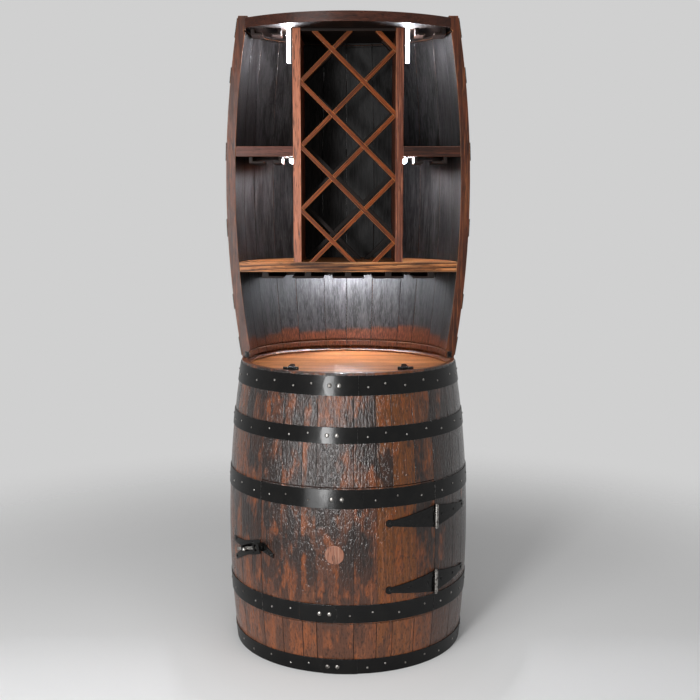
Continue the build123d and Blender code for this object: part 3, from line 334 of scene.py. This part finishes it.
def lacquered_stave_oak():
    """Old barrel oak, rough sawn, stained and lacquered: smoky brown to amber, wet glints on its crackle."""
    made, tree, shader = new_material("lacquered_stave_oak")
    place = timber_place(tree, GRAIN_UP)
    smoke = stretched_noise(tree, place, 58, 140, 3.0)
    ember = stretched_noise(tree, place, 40, 100, 3.0)
    # The crackle is drawn coarser than it is, so that it shows
    dashes = stretched_noise(tree, place, 5, 14, 2.0)
    fibres = stretched_noise(tree, place, 5, 70, 3.0)
    tone = node(tree, "ShaderNodeAttribute", attribute_name="tone").outputs["Fac"]
    edge = node(tree, "ShaderNodeAttribute", attribute_name="edge").outputs["Fac"]
    # Low tones deepen the smoky patches: smoke stain, and painted shade on the right-hand staves
    smoky = node(tree, "ShaderNodeMath", {0: tone, 1: -0.16, 2: smoke}, operation="MULTIPLY_ADD").outputs[0]
    level = object_level(tree)
    colour = stained(tree, "#442414", tone, "#592e04", 0.2, 1.0)
    colour = stained(tree, colour, ember, "#71370c", 0.49, 0.59, 0.72)
    colour = stained(tree, colour, growth_rings(tree, place, 13), "#24130c", 0.35, 1.0, 0.35)
    colour = stained(tree, colour, fibres, "#7e4a2c", 0.55, 0.66, 0.5)
    colour = stained(tree, colour, smoky, "#0c0706", 0.41, 0.5, 0.88)
    # Painted sheen: the staves grow paler towards the floor
    colour = stained(tree, colour, level, "#855238", PAINTED_SHEEN_HEIGHT, 0.0, 0.3)
    colour = stained(tree, colour, dashes, "#0a0604", 0.52, 0.64, 0.5)
    colour = stained(tree, colour, edge, "#0a0605", 0.0, 1.0, 0.7)
    carved = node(tree, "ShaderNodeMath", {0: fibres, 1: dashes}, operation="SUBTRACT").outputs[0]
    surfaced(tree, shader, colour, fibres, (0.3, 0.5), carved, 3.2)
    shader.inputs["Specular IOR Level"].default_value = 0.08
    shader.inputs["Coat Weight"].default_value = 0.75
    shader.inputs["Coat Roughness"].default_value = 0.12
    return made


def cut_stave_oak():
    """Sawn edge of a stave: reddish brown under stain, smoother than the face, its corners lightened as a
    painted highlight.
    """
    # The last colour lightens the eased corners as a painted highlight along the rim
    colours = ("#220e06", "#4c2412", "#7c4828", "#5c2c16", "#a06840")
    return timber("cut_stave_oak", colours, ring_share=0.45, gloss=(0.3, 0.45), coat=0.2)


def head_oak():
    """Planed oak lacquered amber: long orange grain."""
    colours = ("#5e2c10", "#a8683a", "#cf9c72", "#b07240", "#8a5430")
    return timber("amber_head_oak", colours, GRAIN_ACROSS, ring=26.0, ring_share=0.6, patch_share=0.6,
                  relief=0.2, gloss=(0.26, 0.4), coat=0.25)


def shelf_oak():
    """Main shelf's front stained red-brown with strong dark grain, satin lacquer."""
    colours = ("#2c150a", "#8a5230", "#c48e60", "#a2663a", "#c89a72")
    return timber("red_brown_shelf_oak", colours, GRAIN_ACROSS, ring=6.0, ring_share=0.9, patch_share=0.8,
                  gloss=(0.34, 0.5))


def divider_oak():
    """Divider stained red-brown, plain grain, satin lacquer; its tone, from dark red-brown to orange,
    carries painted light and shade.
    """
    colours = ("#4a2416", "#54281b", "#a4694a", "#a8664a", "#b87d60")
    return timber("orange_brown_divider_oak", colours, ring_share=0.25, patch_share=0.3,
                  gloss=(0.3, 0.45), coat=0.2)


def mahogany_oak():
    """Board stained to dark mahogany: even, with a faint grain and a satin sheen."""
    colours = ("#180a06", "#2a150d", "#50291b", "#5a342a", "#7a4c3a")
    return timber("mahogany_oak", colours, GRAIN_ACROSS, ring_share=0.3, patch_share=0.4, relief=0.2,
                  gloss=(0.3, 0.45), coat=0.12)


def slat_pine(name, turn):
    """Lattice slat stained red-brown: straight grain, and edges lightened as a painted highlight."""
    # The last colour is a painted highlight where the eased edges catch the light
    colours = ("#321406", "#5c280c", "#8c4619", "#78360f", "#c8854c")
    return timber(name, colours, turn, ring=5.0, edge_share=0.45, patch_share=0.45, relief=0.2,
                  gloss=(0.28, 0.42), coat=0.1)


def dark_rail_wood(name, turn):
    """Wood stained black-brown, dull."""
    colours = ("#070403", "#140c09", "#22150f", "#1a100c", "#2a1a12")
    return timber(name, colours, turn, ring=8.0, relief=0.3, gloss=(0.45, 0.6), coat=0.05)


def inside_oak():
    """Plain oiled oak inside the cupboard: pale brown, matt."""
    colours = ("#6b4426", "#9a6f45", "#c09a6c", "#a3774a", "#8a6038")
    return timber("oiled_oak", colours, ring_share=0.3, relief=0.3, gloss=(0.5, 0.7), coat=0.0)


def bung_poplar():
    """Turned poplar bung under lacquer: pinker and paler than the stave, its rim darkened as painted shade.
    """
    # The last colour darkens the eased rim as painted shade for the gap round the bung
    colours = ("#5c3628", "#7e5240", "#a07a66", "#865c48", "#3a2015")
    return timber("bung_poplar", colours, ring=6.0, ring_share=0.2, patch_share=0.3, relief=0.15,
                  gloss=(0.3, 0.4), coat=0.4)


def charred_oak():
    """Barrel oak burnt inside: black with grey ash, upright cracks, and an unburnt band at the foot."""
    made, tree, shader = new_material("charred_oak")
    place = timber_place(tree, GRAIN_UP)
    fibres = stretched_noise(tree, place, 2.4, 60, 5.0)
    ash = stretched_noise(tree, place, 14, 150, 3.0)
    cracks = stretched_noise(tree, place, 4, 22, 4.0)
    tone = node(tree, "ShaderNodeAttribute", attribute_name="tone").outputs["Fac"]
    edge = node(tree, "ShaderNodeAttribute", attribute_name="edge").outputs["Fac"]
    char = stained(tree, "#0e0d0d", ash, "#232222", 0.4, 0.62)
    char = stained(tree, char, fibres, "#3c3a3a", 0.45, 0.68, 0.5)
    char = stained(tree, char, cracks, "#060606", 0.55, 0.66, 0.6)
    bare = stained(tree, "#2e150a", fibres, "#532a18", 0.4, 0.65)
    level = object_level(tree)
    stepped = node(tree, "ShaderNodeMath", {0: tone, 1: -CHAR_STEP, 2: level},
                   operation="MULTIPLY_ADD").outputs[0]
    line = node(tree, "ShaderNodeMath", {0: ash, 1: -CHAR_FRAY, 2: stepped},
                operation="MULTIPLY_ADD").outputs[0]
    colour = stained(tree, bare, line, char, rack_foot + CHAR_LOW, rack_foot + CHAR_HIGH)
    colour = stained(tree, colour, edge, "#040404", 0.0, 1.0, 0.85)
    height = node(tree, "ShaderNodeMath", {0: fibres, 1: cracks}, operation="SUBTRACT").outputs[0]
    surfaced(tree, shader, colour, fibres, (0.36, 0.55), height, 0.7)
    shader.inputs["Specular IOR Level"].default_value = 0.12
    return made


def black_steel(name, colour, pale, gloss, dent, bare_share):
    """Steel under black paint: dented, with rubbed edges where the steel shows grey."""
    made, tree, shader = new_material(name)
    dents = mottle(tree, dent, 3.0)
    fine = mottle(tree, 5, 4.0)
    edge = node(tree, "ShaderNodeAttribute", attribute_name="edge").outputs["Fac"]
    rubbed = node(tree, "ShaderNodeMath", {0: edge, 1: fine}, operation="MULTIPLY").outputs[0]
    painted = stained(tree, colour, dents, pale, 0.35, 0.7)
    worn = stained(tree, painted, rubbed, "#85827f", 0.42, 0.62, bare_share)
    surfaced(tree, shader, worn, fine, gloss, dents, 0.4)
    shader.inputs["Specular IOR Level"].default_value = 0.0
    shader.inputs["Coat Weight"].default_value = 0.5
    shader.inputs["Coat Roughness"].default_value = 0.2
    return made


def hoop_steel():
    """Barrel hoop in gloss black paint: dark, with broken grey reflections."""
    return black_steel("black_enamelled_hoop_steel", "#020202", "#090807", (0.28, 0.46), 30, 0.5)


def black_iron():
    """Pressed iron of hinges and latch in satin black."""
    return black_steel("satin_black_iron", "#050505", "#100f0e", (0.38, 0.55), 12, 0.6)


def bare_steel(name, bright, dull):
    """Bare steel, slightly mottled."""
    made, tree, shader = new_material(name)
    spots = mottle(tree, 6, 3.0)
    colour = stained(tree, bright, spots, dull, 0.4, 0.7)
    surfaced(tree, shader, colour, spots, (0.2, 0.42), spots, 0.1)
    shader.inputs["Metallic"].default_value = 1.0
    return made


def black_abs():
    """Moulded black ABS of the light bars' bases, faintly textured."""
    made, tree, shader = new_material("black_abs")
    skin = mottle(tree, 1.5, 2.0)
    colour = stained(tree, "#161616", skin, "#202020", 0.0, 1.0)
    surfaced(tree, shader, colour, skin, (0.4, 0.55), skin, 0.05)
    return made


def frosted_acrylic(name, strength):
    """Frosted acrylic lens of a light bar, lit cool white from inside."""
    made, tree, shader = new_material(name)
    frost = mottle(tree, 3, 2.0)
    colour = stained(tree, "#f4f6fa", frost, "#ffffff", 0.0, 1.0)
    surfaced(tree, shader, colour, frost, (0.4, 0.6), frost, 0.05)
    shader.inputs["Emission Color"].default_value = rgba("#f2f6ff")
    shader.inputs["Emission Strength"].default_value = strength
    return made


def islands(mesh):
    """Lists of vertices for each solid in a bmesh, in order of bearing from the back, then height."""
    groups = []
    seen = set()
    for first in mesh.verts:
        if first in seen:
            continue
        group = []
        waiting = [first]
        seen.add(first)
        while waiting:
            vert = waiting.pop()
            group.append(vert)
            for edge in vert.link_edges:
                other = edge.other_vert(vert)
                if other not in seen:
                    seen.add(other)
                    waiting.append(other)
        groups.append(group)

    def order(group):
        middle = sum((vert.co for vert in group), Vector()) / len(group)
        return round(math.atan2(middle.x, -middle.y), 4), round(middle.z, 4)

    return sorted(groups, key=order)


def merged_copy(name):
    """Bmesh of a CAD node with its loose triangles joined."""
    solid = bmesh.new()
    solid.from_mesh(frame["nodes"][name].data)
    bmesh.ops.remove_doubles(solid, verts=solid.verts, dist=MERGE_DISTANCE)
    return solid


def finish_piece(piece, name):
    """Let a finished piece stand for its CAD node, on the node's body."""
    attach(piece, frame["nodes"][name]["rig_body"])
    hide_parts(name)
    return piece


def settled(piece):
    """Apply a piece's modifiers to its mesh."""
    graph = bpy.context.evaluated_depsgraph_get()
    mesh = bpy.data.meshes.new_from_object(piece.evaluated_get(graph))
    piece.modifiers.clear()
    piece.data = mesh
    return piece


def dressed(name, materials, edge, tones=None, seed=1):
    """Piece in a CAD node's place with eased edges, and a tone and grain shift for each solid."""
    solid = merged_copy(name)
    bmesh.ops.dissolve_limit(solid, angle_limit=FLAT_ANGLE, verts=solid.verts, edges=solid.edges)
    edge_layer = solid.faces.layers.float.new("edge")
    tone_layer = solid.verts.layers.float.new("tone")
    shift_layer = solid.verts.layers.float_vector.new("shift")
    sharp = [e for e in solid.edges if len(e.link_faces) == 2 and e.calc_face_angle(0) > EASED_ANGLE]
    eased = bmesh.ops.bevel(solid, geom=sharp, offset=edge, segments=2, profile=0.5, affect="EDGES",
                            clamp_overlap=True)["faces"]
    for face in eased:
        face[edge_layer] = 1.0
    draw = random.Random(seed)
    for index, group in enumerate(islands(solid)):
        tone = draw.random()
        shift = Vector([draw.uniform(-3, 3) for axis in range(3)])
        if tones:
            tone = tones[index % len(tones)]
        for vert in group:
            vert[tone_layer] = tone
            vert[shift_layer] = shift
    mesh = bpy.data.meshes.new(f"{name}_finished")
    solid.to_mesh(mesh)
    solid.free()
    mesh.shade_smooth()
    mesh.set_sharp_from_angle(angle=SHARP_ANGLE)
    for material in materials:
        mesh.materials.append(material)
    piece = bpy.data.objects.new(f"{name}_finished", mesh)
    bpy.context.scene.collection.objects.link(piece)
    weighted = piece.modifiers.new("Flat Faces", "WEIGHTED_NORMAL")
    weighted.keep_sharp = True
    settled(piece)
    return finish_piece(piece, name)


def paint_stave_faces(piece, sawn_front=-math.inf, rim=math.inf):
    """Paint a stave's outer face and joints, its inner face and its sawn ends in three materials."""
    for face in piece.data.polygons:
        outwards = Vector((face.center.x, face.center.y, 0)).normalized()
        facing = face.normal.dot(outwards)
        sideways = abs(facing) < FACING_OUT
        sawn = abs(face.normal.z) > FACING_OUT or sideways and face.center.y < sawn_front
        inwards = facing < -FACING_OUT
        inner = inwards and face.center.z < rim
        face.material_index = 1 if inner else 2 if sawn or inwards else 0


def paint_knuckles(piece):
    """Give the knuckles around the door's hinge pins the second material."""
    axis = (hinge_pins[0] + hinge_pins[1]) / 2
    for face in piece.data.polygons:
        reach = math.hypot(face.center.x - axis.x, face.center.y - axis.y)
        face.material_index = 1 if reach < KNUCKLE_REACH else 0


def paint_level_faces(piece):
    """Give the faces that look down the second material, and those that look up the third."""
    for face in piece.data.polygons:
        face.material_index = 1 if face.normal.z < -FACING_UP else 2 if face.normal.z > FACING_UP else 0


def paint_lenses(piece):
    """Give the lenses under the top board, the side shelves and the main shelf a material each."""
    for face in piece.data.polygons:
        level = face.center.z
        face.material_index = 2 if level < main_shelf_low else 1 if level < side_shelf_low else 0


def head_places(name):
    """Foot and axis of each nail or screw head in a CAD node."""
    solid = merged_copy(name)
    places = []
    for group in islands(solid):
        points = np.array([vert.co for vert in group])
        middle = (points.max(0) + points.min(0)) / 2
        spread = np.linalg.eigh(np.cov((points - points.mean(0)).T))[1]
        axis = Vector(spread[:, 0])
        outwards = Vector((middle[0], middle[1], MM))
        if abs(axis.z) > UPRIGHT_AXIS:
            outwards = Vector((0, 0, 1))
        if axis.dot(outwards) < 0:
            axis.negate()
        heights = (points - middle) @ np.array(axis)
        across = np.linalg.norm(points - middle - np.outer(heights, np.array(axis)), axis=1)
        places.append((Vector(middle) + axis * float(heights.min()), axis, float(across.max())))
    solid.free()
    return places


def head_tree(slotted):
    """Node tree that sets a domed head, slotted or plain, on each point along its axis."""
    tree = bpy.data.node_groups.new("Slotted Heads" if slotted else "Domed Heads", "GeometryNodeTree")
    tree.interface.new_socket("Points", in_out="INPUT", socket_type="NodeSocketGeometry")
    for label in ("Head Radius", "Head Height"):
        tree.interface.new_socket(label, in_out="INPUT", socket_type="NodeSocketFloat")
    tree.interface.new_socket("Seed", in_out="INPUT", socket_type="NodeSocketInt")
    tree.interface.new_socket("Finish", in_out="INPUT", socket_type="NodeSocketMaterial")
    tree.interface.new_socket("Heads", in_out="OUTPUT", socket_type="NodeSocketGeometry")
    given = node(tree, "NodeGroupInput").outputs
    ball = node(tree, "GeometryNodeMeshUVSphere", {"Segments": 14, "Rings": 10, "Radius": 1.0}).outputs[0]
    spot = node(tree, "GeometryNodeInputPosition").outputs[0]
    parts = node(tree, "ShaderNodeSeparateXYZ", {0: spot}).outputs
    above = node(tree, "ShaderNodeMath", {0: parts[2], 1: 0.0}, operation="MAXIMUM").outputs[0]
    shape = node(tree, "ShaderNodeCombineXYZ", {0: parts[0], 1: parts[1], 2: above}).outputs[0]
    size = node(tree, "ShaderNodeCombineXYZ", {
        0: given["Head Radius"], 1: given["Head Radius"], 2: given["Head Height"]}).outputs[0]
    scaled = node(tree, "ShaderNodeVectorMath", {0: shape, 1: size}, operation="MULTIPLY").outputs[0]
    head = node(tree, "GeometryNodeSetPosition", {"Geometry": ball, "Position": scaled}).outputs[0]
    if slotted:
        groove = node(tree, "ShaderNodeVectorMath", {0: size, 1: SLOT_SIZE}, operation="MULTIPLY").outputs[0]
        lift = node(tree, "ShaderNodeVectorMath", {0: size, 1: SLOT_LIFT}, operation="MULTIPLY").outputs[0]
        cutter = node(tree, "GeometryNodeMeshCube", {"Size": groove}).outputs[0]
        raised = node(tree, "GeometryNodeTransform", {"Geometry": cutter, "Translation": lift}).outputs[0]
        head = node(tree, "GeometryNodeMeshBoolean", {0: head, 1: raised},
                    operation="DIFFERENCE").outputs[0]
    axis = node(tree, "GeometryNodeInputNamedAttribute", {"Name": "axis"},
                data_type="FLOAT_VECTOR").outputs[0]
    stand = node(tree, "FunctionNodeAlignRotationToVector", {"Vector": axis}, axis="Z").outputs[0]
    spin = node(tree, "FunctionNodeRandomValue", {2: 0.0, 3: math.pi, "Seed": given["Seed"]}).outputs[1]
    turn = node(tree, "FunctionNodeAxisAngleToRotation", {
        "Axis": (0.0, 0.0, 1.0), "Angle": spin}).outputs[0]
    placed = node(tree, "FunctionNodeRotateRotation", {"Rotation": stand, "Rotate By": turn},
                  rotation_space="LOCAL").outputs[0]
    scale = node(tree, "GeometryNodeInputNamedAttribute", {"Name": "size"}, data_type="FLOAT").outputs[0]
    copies = node(tree, "GeometryNodeInstanceOnPoints", {
        "Points": given["Points"], "Instance": head, "Rotation": placed, "Scale": scale}).outputs[0]
    real = node(tree, "GeometryNodeRealizeInstances", {"Geometry": copies}).outputs[0]
    smooth = node(tree, "GeometryNodeSetShadeSmooth", {"Geometry": real}).outputs[0]
    finished = node(tree, "GeometryNodeSetMaterial", {
        "Geometry": smooth, "Material": given["Finish"]}).outputs[0]
    node(tree, "NodeGroupOutput", {"Heads": finished})
    return tree


def heads(name, tree, radius, height, seed, material):
    """Piece with a domed head in the place of each one in a CAD node."""
    places = head_places(name)
    widest = max(across for place, axis, across in places)
    mesh = bpy.data.meshes.new(f"{name}_finished")
    mesh.from_pydata([place for place, axis, across in places], [], [])
    mesh.attributes.new("axis", "FLOAT_VECTOR", "POINT")
    mesh.attributes.new("size", "FLOAT", "POINT")
    for index, (place, axis, across) in enumerate(places):
        mesh.attributes["axis"].data[index].vector = axis
        mesh.attributes["size"].data[index].value = across / widest
    piece = bpy.data.objects.new(f"{name}_finished", mesh)
    bpy.context.scene.collection.objects.link(piece)
    nodes = piece.modifiers.new("Heads", "NODES")
    nodes.node_group = tree
    values = {"Head Radius": radius, "Head Height": height, "Seed": seed, "Finish": material}
    for item in tree.interface.items_tree:
        if item.in_out == "INPUT" and item.name in values:
            nodes[item.identifier] = values[item.name]
    settled(piece)
    return finish_piece(piece, name)


class WINERACK_OT_lower_staves(bpy.types.Operator):
    """Dress the cupboard's staves, door and bung"""

    bl_idname = "wine_rack.lower_staves"
    bl_label = "Lower Staves"

    def execute(self, context):
        edge = context.scene.wine_rack.edges.stave
        finishes = [lacquered_stave_oak(), inside_oak(), cut_stave_oak()]
        sides = dressed("side_staves", finishes, edge, LEFT_TONES + SHADED_RIGHT_TONES, seed=5)
        paint_stave_faces(sides, rim=head_level)
        for name in ("staves_above_door", "door_staves", "staves_below_door"):
            paint_stave_faces(dressed(name, finishes, edge, FRONT_TONES, seed=11), rim=head_level)
        dressed("bung", [bung_poplar()], 2 * edge)
        return {"FINISHED"}


class WINERACK_OT_rack_staves(bpy.types.Operator):
    """Dress the half barrel: stained outside, charred inside, with sawn edges"""

    bl_idname = "wine_rack.rack_staves"
    bl_label = "Rack Staves"

    def execute(self, context):
        edge = context.scene.wine_rack.edges.stave
        lacquered = bpy.data.materials["lacquered_stave_oak"]
        finishes = [lacquered, charred_oak(), bpy.data.materials["cut_stave_oak"]]
        paint_stave_faces(dressed("rack_staves", finishes, edge, seed=8), sawn_front=edge)
        return {"FINISHED"}


class WINERACK_OT_hoops(bpy.types.Operator):
    """Paint the hoops black"""

    bl_idname = "wine_rack.hoops"
    bl_label = "Hoops"

    def execute(self, context):
        edge = context.scene.wine_rack.edges.metal
        steel = hoop_steel()
        for name in ("cabinet_head_hoop", "cabinet_quarter_hoop", "cabinet_upper_bilge_hoop",
                     "cabinet_lower_bilge_hoop", "cabinet_foot_hoop", "door_upper_bilge_hoop",
                     "door_lower_bilge_hoop", "rack_hoops"):
            dressed(name, [steel], edge)
        return {"FINISHED"}


class WINERACK_OT_ironwork(bpy.types.Operator):
    """Dress the hinges, the latch and the angle plates"""

    bl_idname = "wine_rack.ironwork"
    bl_label = "Hinges and Latch"

    def execute(self, context):
        edge = context.scene.wine_rack.edges.metal
        iron = black_iron()
        rubbed = bare_steel("rubbed_steel", "#95928e", "#3f3b38")
        zinc = bare_steel("zinc_plated_steel", "#b4b2ae", "#75726d")
        for name in ("door_hinge_straps", "jamb_hinge_straps"):
            paint_knuckles(dressed(name, [iron, rubbed], edge))
        for name in ("latch_plate", "latch_keeper", "lid_front_leaves", "lid_rear_leaves", "foot_plates"):
            dressed(name, [iron], edge)
        for name in ("door_hinge_pins", "lid_hinge_pins"):
            dressed(name, [rubbed], edge)
        dressed("latch_bolt", [zinc], edge)
        return {"FINISHED"}


class WINERACK_OT_fasteners(bpy.types.Operator):
    """Set the nail, rivet and screw heads"""

    bl_idname = "wine_rack.fasteners"
    bl_label = "Nails, Rivets and Screws"

    def execute(self, context):
        sizes = context.scene.wine_rack.fasteners
        iron = bpy.data.materials["satin_black_iron"]
        rubbed = bpy.data.materials["rubbed_steel"]
        domed = head_tree(slotted=False)
        slotted = head_tree(slotted=True)
        for name in ("cabinet_hoop_nails", "door_hoop_nails", "rack_hoop_nails"):
            heads(name, domed, sizes.nail_radius, sizes.nail_height, sizes.seed, rubbed)
        for name in ("cabinet_hoop_rivets", "door_hoop_rivets"):
            heads(name, domed, sizes.rivet_radius, sizes.rivet_height, sizes.seed, rubbed)
        for name in ("door_screws", "cabinet_screws"):
            heads(name, slotted, sizes.screw_radius, sizes.screw_height, sizes.seed, iron)
        heads("lid_screws", slotted, sizes.small_screw_radius, sizes.screw_height, sizes.seed, iron)
        return {"FINISHED"}


class WINERACK_OT_head(bpy.types.Operator):
    """Dress the barrel head and its lid"""

    bl_idname = "wine_rack.head"
    bl_label = "Head and Lid"

    def execute(self, context):
        edge = context.scene.wine_rack.edges.board
        oak = head_oak()
        for seed, name in enumerate(("head_boards", "lid_boards")):
            dressed(name, [oak], edge, seed=seed + 20)
        return {"FINISHED"}


class WINERACK_OT_shelves(bpy.types.Operator):
    """Dress the top board, shelves and dividers"""

    bl_idname = "wine_rack.shelves"
    bl_label = "Shelves and Dividers"

    def execute(self, context):
        edge = context.scene.wine_rack.edges.board
        amber = bpy.data.materials["amber_head_oak"]
        mahogany = mahogany_oak()
        divider = divider_oak()
        dark = dark_rail_wood("black_brown_shelf_wood", GRAIN_ACROSS)
        paint_level_faces(dressed("main_shelf", [shelf_oak(), dark, amber], edge, (0.9,), seed=31))
        # The left divider takes the orange tone as painted light and the right one the dark red-brown tone
        # as painted shade
        dressed("divider_left", [divider], edge, (1.0,), seed=32)
        dressed("divider_right", [divider], edge, (0.15,), seed=33)
        # The left side shelf takes the warm tone as a painted sheen and the right one the dark tone as
        # painted shade
        for tone, name in ((0.35, "top_board"), (1.0, "side_shelf_left"), (0.0, "side_shelf_right")):
            paint_level_faces(dressed(name, [mahogany, dark, mahogany], edge, (tone,), seed=34))
        # The lattice header takes the black-brown wood as painted shade for the dark band under the top
        # board
        dressed("lattice_header", [dark], edge, seed=37)
        return {"FINISHED"}


class WINERACK_OT_lattice(bpy.types.Operator):
    """Dress the slats of the bottle lattices"""

    bl_idname = "wine_rack.lattice"
    bl_label = "Bottle Lattice"

    def execute(self, context):
        edge = context.scene.wine_rack.edges.slat
        for slope, turn in (("rising", GRAIN_RISING), ("falling", GRAIN_FALLING)):
            slat = slat_pine(f"orange_pine_{slope}", turn)
            # The rear slats take the black-brown wood as painted shade, since they stand deeper behind the
            # front lattice
            dark = dark_rail_wood(f"black_brown_slat_{slope}", turn)
            dressed(f"front_lattice_{slope}", [slat], edge, seed=41)
            dressed(f"rear_lattice_{slope}", [dark], edge, seed=42)
        return {"FINISHED"}


class WINERACK_OT_rails(bpy.types.Operator):
    """Dress the stemware rails"""

    bl_idname = "wine_rack.rails"
    bl_label = "Stemware Rails"

    def execute(self, context):
        edge = context.scene.wine_rack.edges.board
        dark = dark_rail_wood("black_brown_rail_wood", GRAIN_BACK)
        for seed, name in enumerate(("main_stem_rails", "side_stem_rails", "top_stem_rails")):
            dressed(name, [dark], edge, seed=seed + 51)
        dressed("rail_stop", [bpy.data.materials["black_brown_shelf_wood"]], edge, seed=54)
        return {"FINISHED"}


class WINERACK_OT_inside(bpy.types.Operator):
    """Dress the boards and battens inside the cupboard"""

    bl_idname = "wine_rack.inside"
    bl_label = "Inside of the Cupboard"

    def execute(self, context):
        edge = context.scene.wine_rack.edges.board
        oak = bpy.data.materials["oiled_oak"]
        names = ("base_boards", "cupboard_shelf", "shelf_cleats", "door_battens", "door_stop",
                 "lid_batten", "lid_ledge")
        for seed, name in enumerate(names):
            dressed(name, [oak], edge, seed=seed + 61)
        return {"FINISHED"}


class WINERACK_OT_lights(bpy.types.Operator):
    """Dress and light the light bars"""

    bl_idname = "wine_rack.lights"
    bl_label = "Light Bars"

    def execute(self, context):
        edge = context.scene.wine_rack.edges.metal
        stage = context.scene.wine_rack.stage
        lenses = [frosted_acrylic("frosted_acrylic_under_top", stage.top_glow),
                  frosted_acrylic("frosted_acrylic_under_side_shelf", stage.side_glow),
                  frosted_acrylic("frosted_acrylic_under_main_shelf", stage.shelf_glow)]
        dressed("light_bases", [black_abs()], edge)
        paint_lenses(dressed("light_lenses", lenses, edge))
        return {"FINISHED"}


def softbox(name, place, aim, size, power):
    """Rectangular area lamp aimed at a point."""
    lamp = bpy.data.lights.new(name, "AREA")
    lamp.shape = "RECTANGLE"
    lamp.size, lamp.size_y = size
    lamp.energy = power
    holder = bpy.data.objects.new(name, lamp)
    holder.location = place
    holder.rotation_euler = (Vector(aim) - Vector(place)).to_track_quat("-Z", "Y").to_euler()
    bpy.context.scene.collection.objects.link(holder)


def studio_world(stage):
    """Even room light, with the pale backdrop for what looks past the object."""
    world = bpy.data.worlds.new("Studio")
    world.use_nodes = True
    tree = world.node_tree
    room = tree.nodes["Background"]
    room.inputs["Color"].default_value = (1.0, 1.0, 1.0, 1.0)
    room.inputs["Strength"].default_value = stage.room_light
    backdrop = node(tree, "ShaderNodeBackground", {
        "Color": (*stage.backdrop, 1.0), "Strength": 1.0}).outputs[0]
    ray = node(tree, "ShaderNodeLightPath").outputs
    seen = node(tree, "ShaderNodeMath", {0: ray["Is Camera Ray"], 1: ray["Is Transmission Ray"]},
                operation="MAXIMUM").outputs[0]
    seen = node(tree, "ShaderNodeMath", {0: seen, 1: ray["Is Glossy Ray"]}, operation="MAXIMUM").outputs[0]
    mixed = node(tree, "ShaderNodeMixShader", {0: seen, 1: room.outputs[0], 2: backdrop}).outputs[0]
    tree.links.new(mixed, tree.nodes["World Output"].inputs["Surface"])
    bpy.context.scene.world = world


def studio_floor(stage):
    """Pale floor that fades into the backdrop away from the object."""
    made, tree, shader = new_material("studio_floor")
    shader.inputs["Base Color"].default_value = (*stage.floor, 1.0)
    shader.inputs["Roughness"].default_value = 0.8
    place = node(tree, "ShaderNodeTexCoord").outputs["Object"]
    reach = node(tree, "ShaderNodeVectorMath", {0: place}, operation="LENGTH").outputs["Value"]
    clear = node(tree, "ShaderNodeBsdfTransparent").outputs[0]
    far = node(tree, "ShaderNodeMapRange", {0: reach, 1: FLOOR_FADE[0], 2: FLOOR_FADE[1]},
               interpolation_type="SMOOTHSTEP").outputs[0]
    faded = node(tree, "ShaderNodeMixShader", {0: far, 1: shader.outputs[0], 2: clear}).outputs[0]
    tree.links.new(faded, tree.nodes["Material Output"].inputs["Surface"])
    disc = bmesh.new()
    bmesh.ops.create_circle(disc, cap_ends=True, radius=FLOOR_RADIUS, segments=96)
    mesh = bpy.data.meshes.new("floor")
    disc.to_mesh(mesh)
    disc.free()
    mesh.materials.append(made)
    floor = bpy.data.objects.new("floor", mesh)
    bpy.context.scene.collection.objects.link(floor)


class WINERACK_OT_stage(bpy.types.Operator):
    """Set the floor, the studio light and the camera"""

    bl_idname = "wine_rack.stage"
    bl_label = "Stage"

    def execute(self, context):
        stage = context.scene.wine_rack.stage
        studio_world(stage)
        studio_floor(stage)
        for name, place, aim, size, power in SOFTBOXES:
            softbox(name, place, aim, size, getattr(stage, power))
        camera = bpy.data.cameras.new("camera")
        camera.lens = stage.lens
        camera.sensor_width = 36.0
        holder = bpy.data.objects.new("camera", camera)
        holder.location = stage.camera_place
        holder.rotation_euler = (math.pi / 2 - stage.camera_tilt, 0, 0)
        context.scene.collection.objects.link(holder)
        context.scene.camera = holder
        context.scene.view_settings.view_transform = "Standard"
        return {"FINISHED"}


pieces = (
    WINERACK_OT_lower_staves, WINERACK_OT_rack_staves, WINERACK_OT_hoops, WINERACK_OT_ironwork,
    WINERACK_OT_fasteners, WINERACK_OT_head, WINERACK_OT_shelves, WINERACK_OT_lattice, WINERACK_OT_rails,
    WINERACK_OT_inside, WINERACK_OT_lights, WINERACK_OT_stage,
)


class WINERACK_PT_panel(bpy.types.Panel):
    """Lists the pieces of the wine rack"""

    bl_idname = "WINERACK_PT_panel"
    bl_label = "Wine Rack"
    bl_space_type = "VIEW_3D"
    bl_region_type = "UI"
    bl_category = "Wine Rack"

    def draw(self, context):
        for piece in pieces:
            self.layout.operator(piece.bl_idname)


classes = (EdgeSettings, FastenerSettings, StageSettings, RackSettings, *pieces, WINERACK_PT_panel)


def register():
    """Register the settings, operators and panel."""
    for made in classes:
        bpy.utils.register_class(made)
    bpy.types.Scene.wine_rack = bpy.props.PointerProperty(type=RackSettings)


def unregister():
    """Remove the settings, operators and panel."""
    del bpy.types.Scene.wine_rack
    for made in reversed(classes):
        bpy.utils.unregister_class(made)


def main():
    """Dress the whole rack and set the stage."""
    register()
    for piece in pieces:
        group, action = piece.bl_idname.split(".")
        getattr(getattr(bpy.ops, group), action)()


if __name__ == "__main__":
    main()
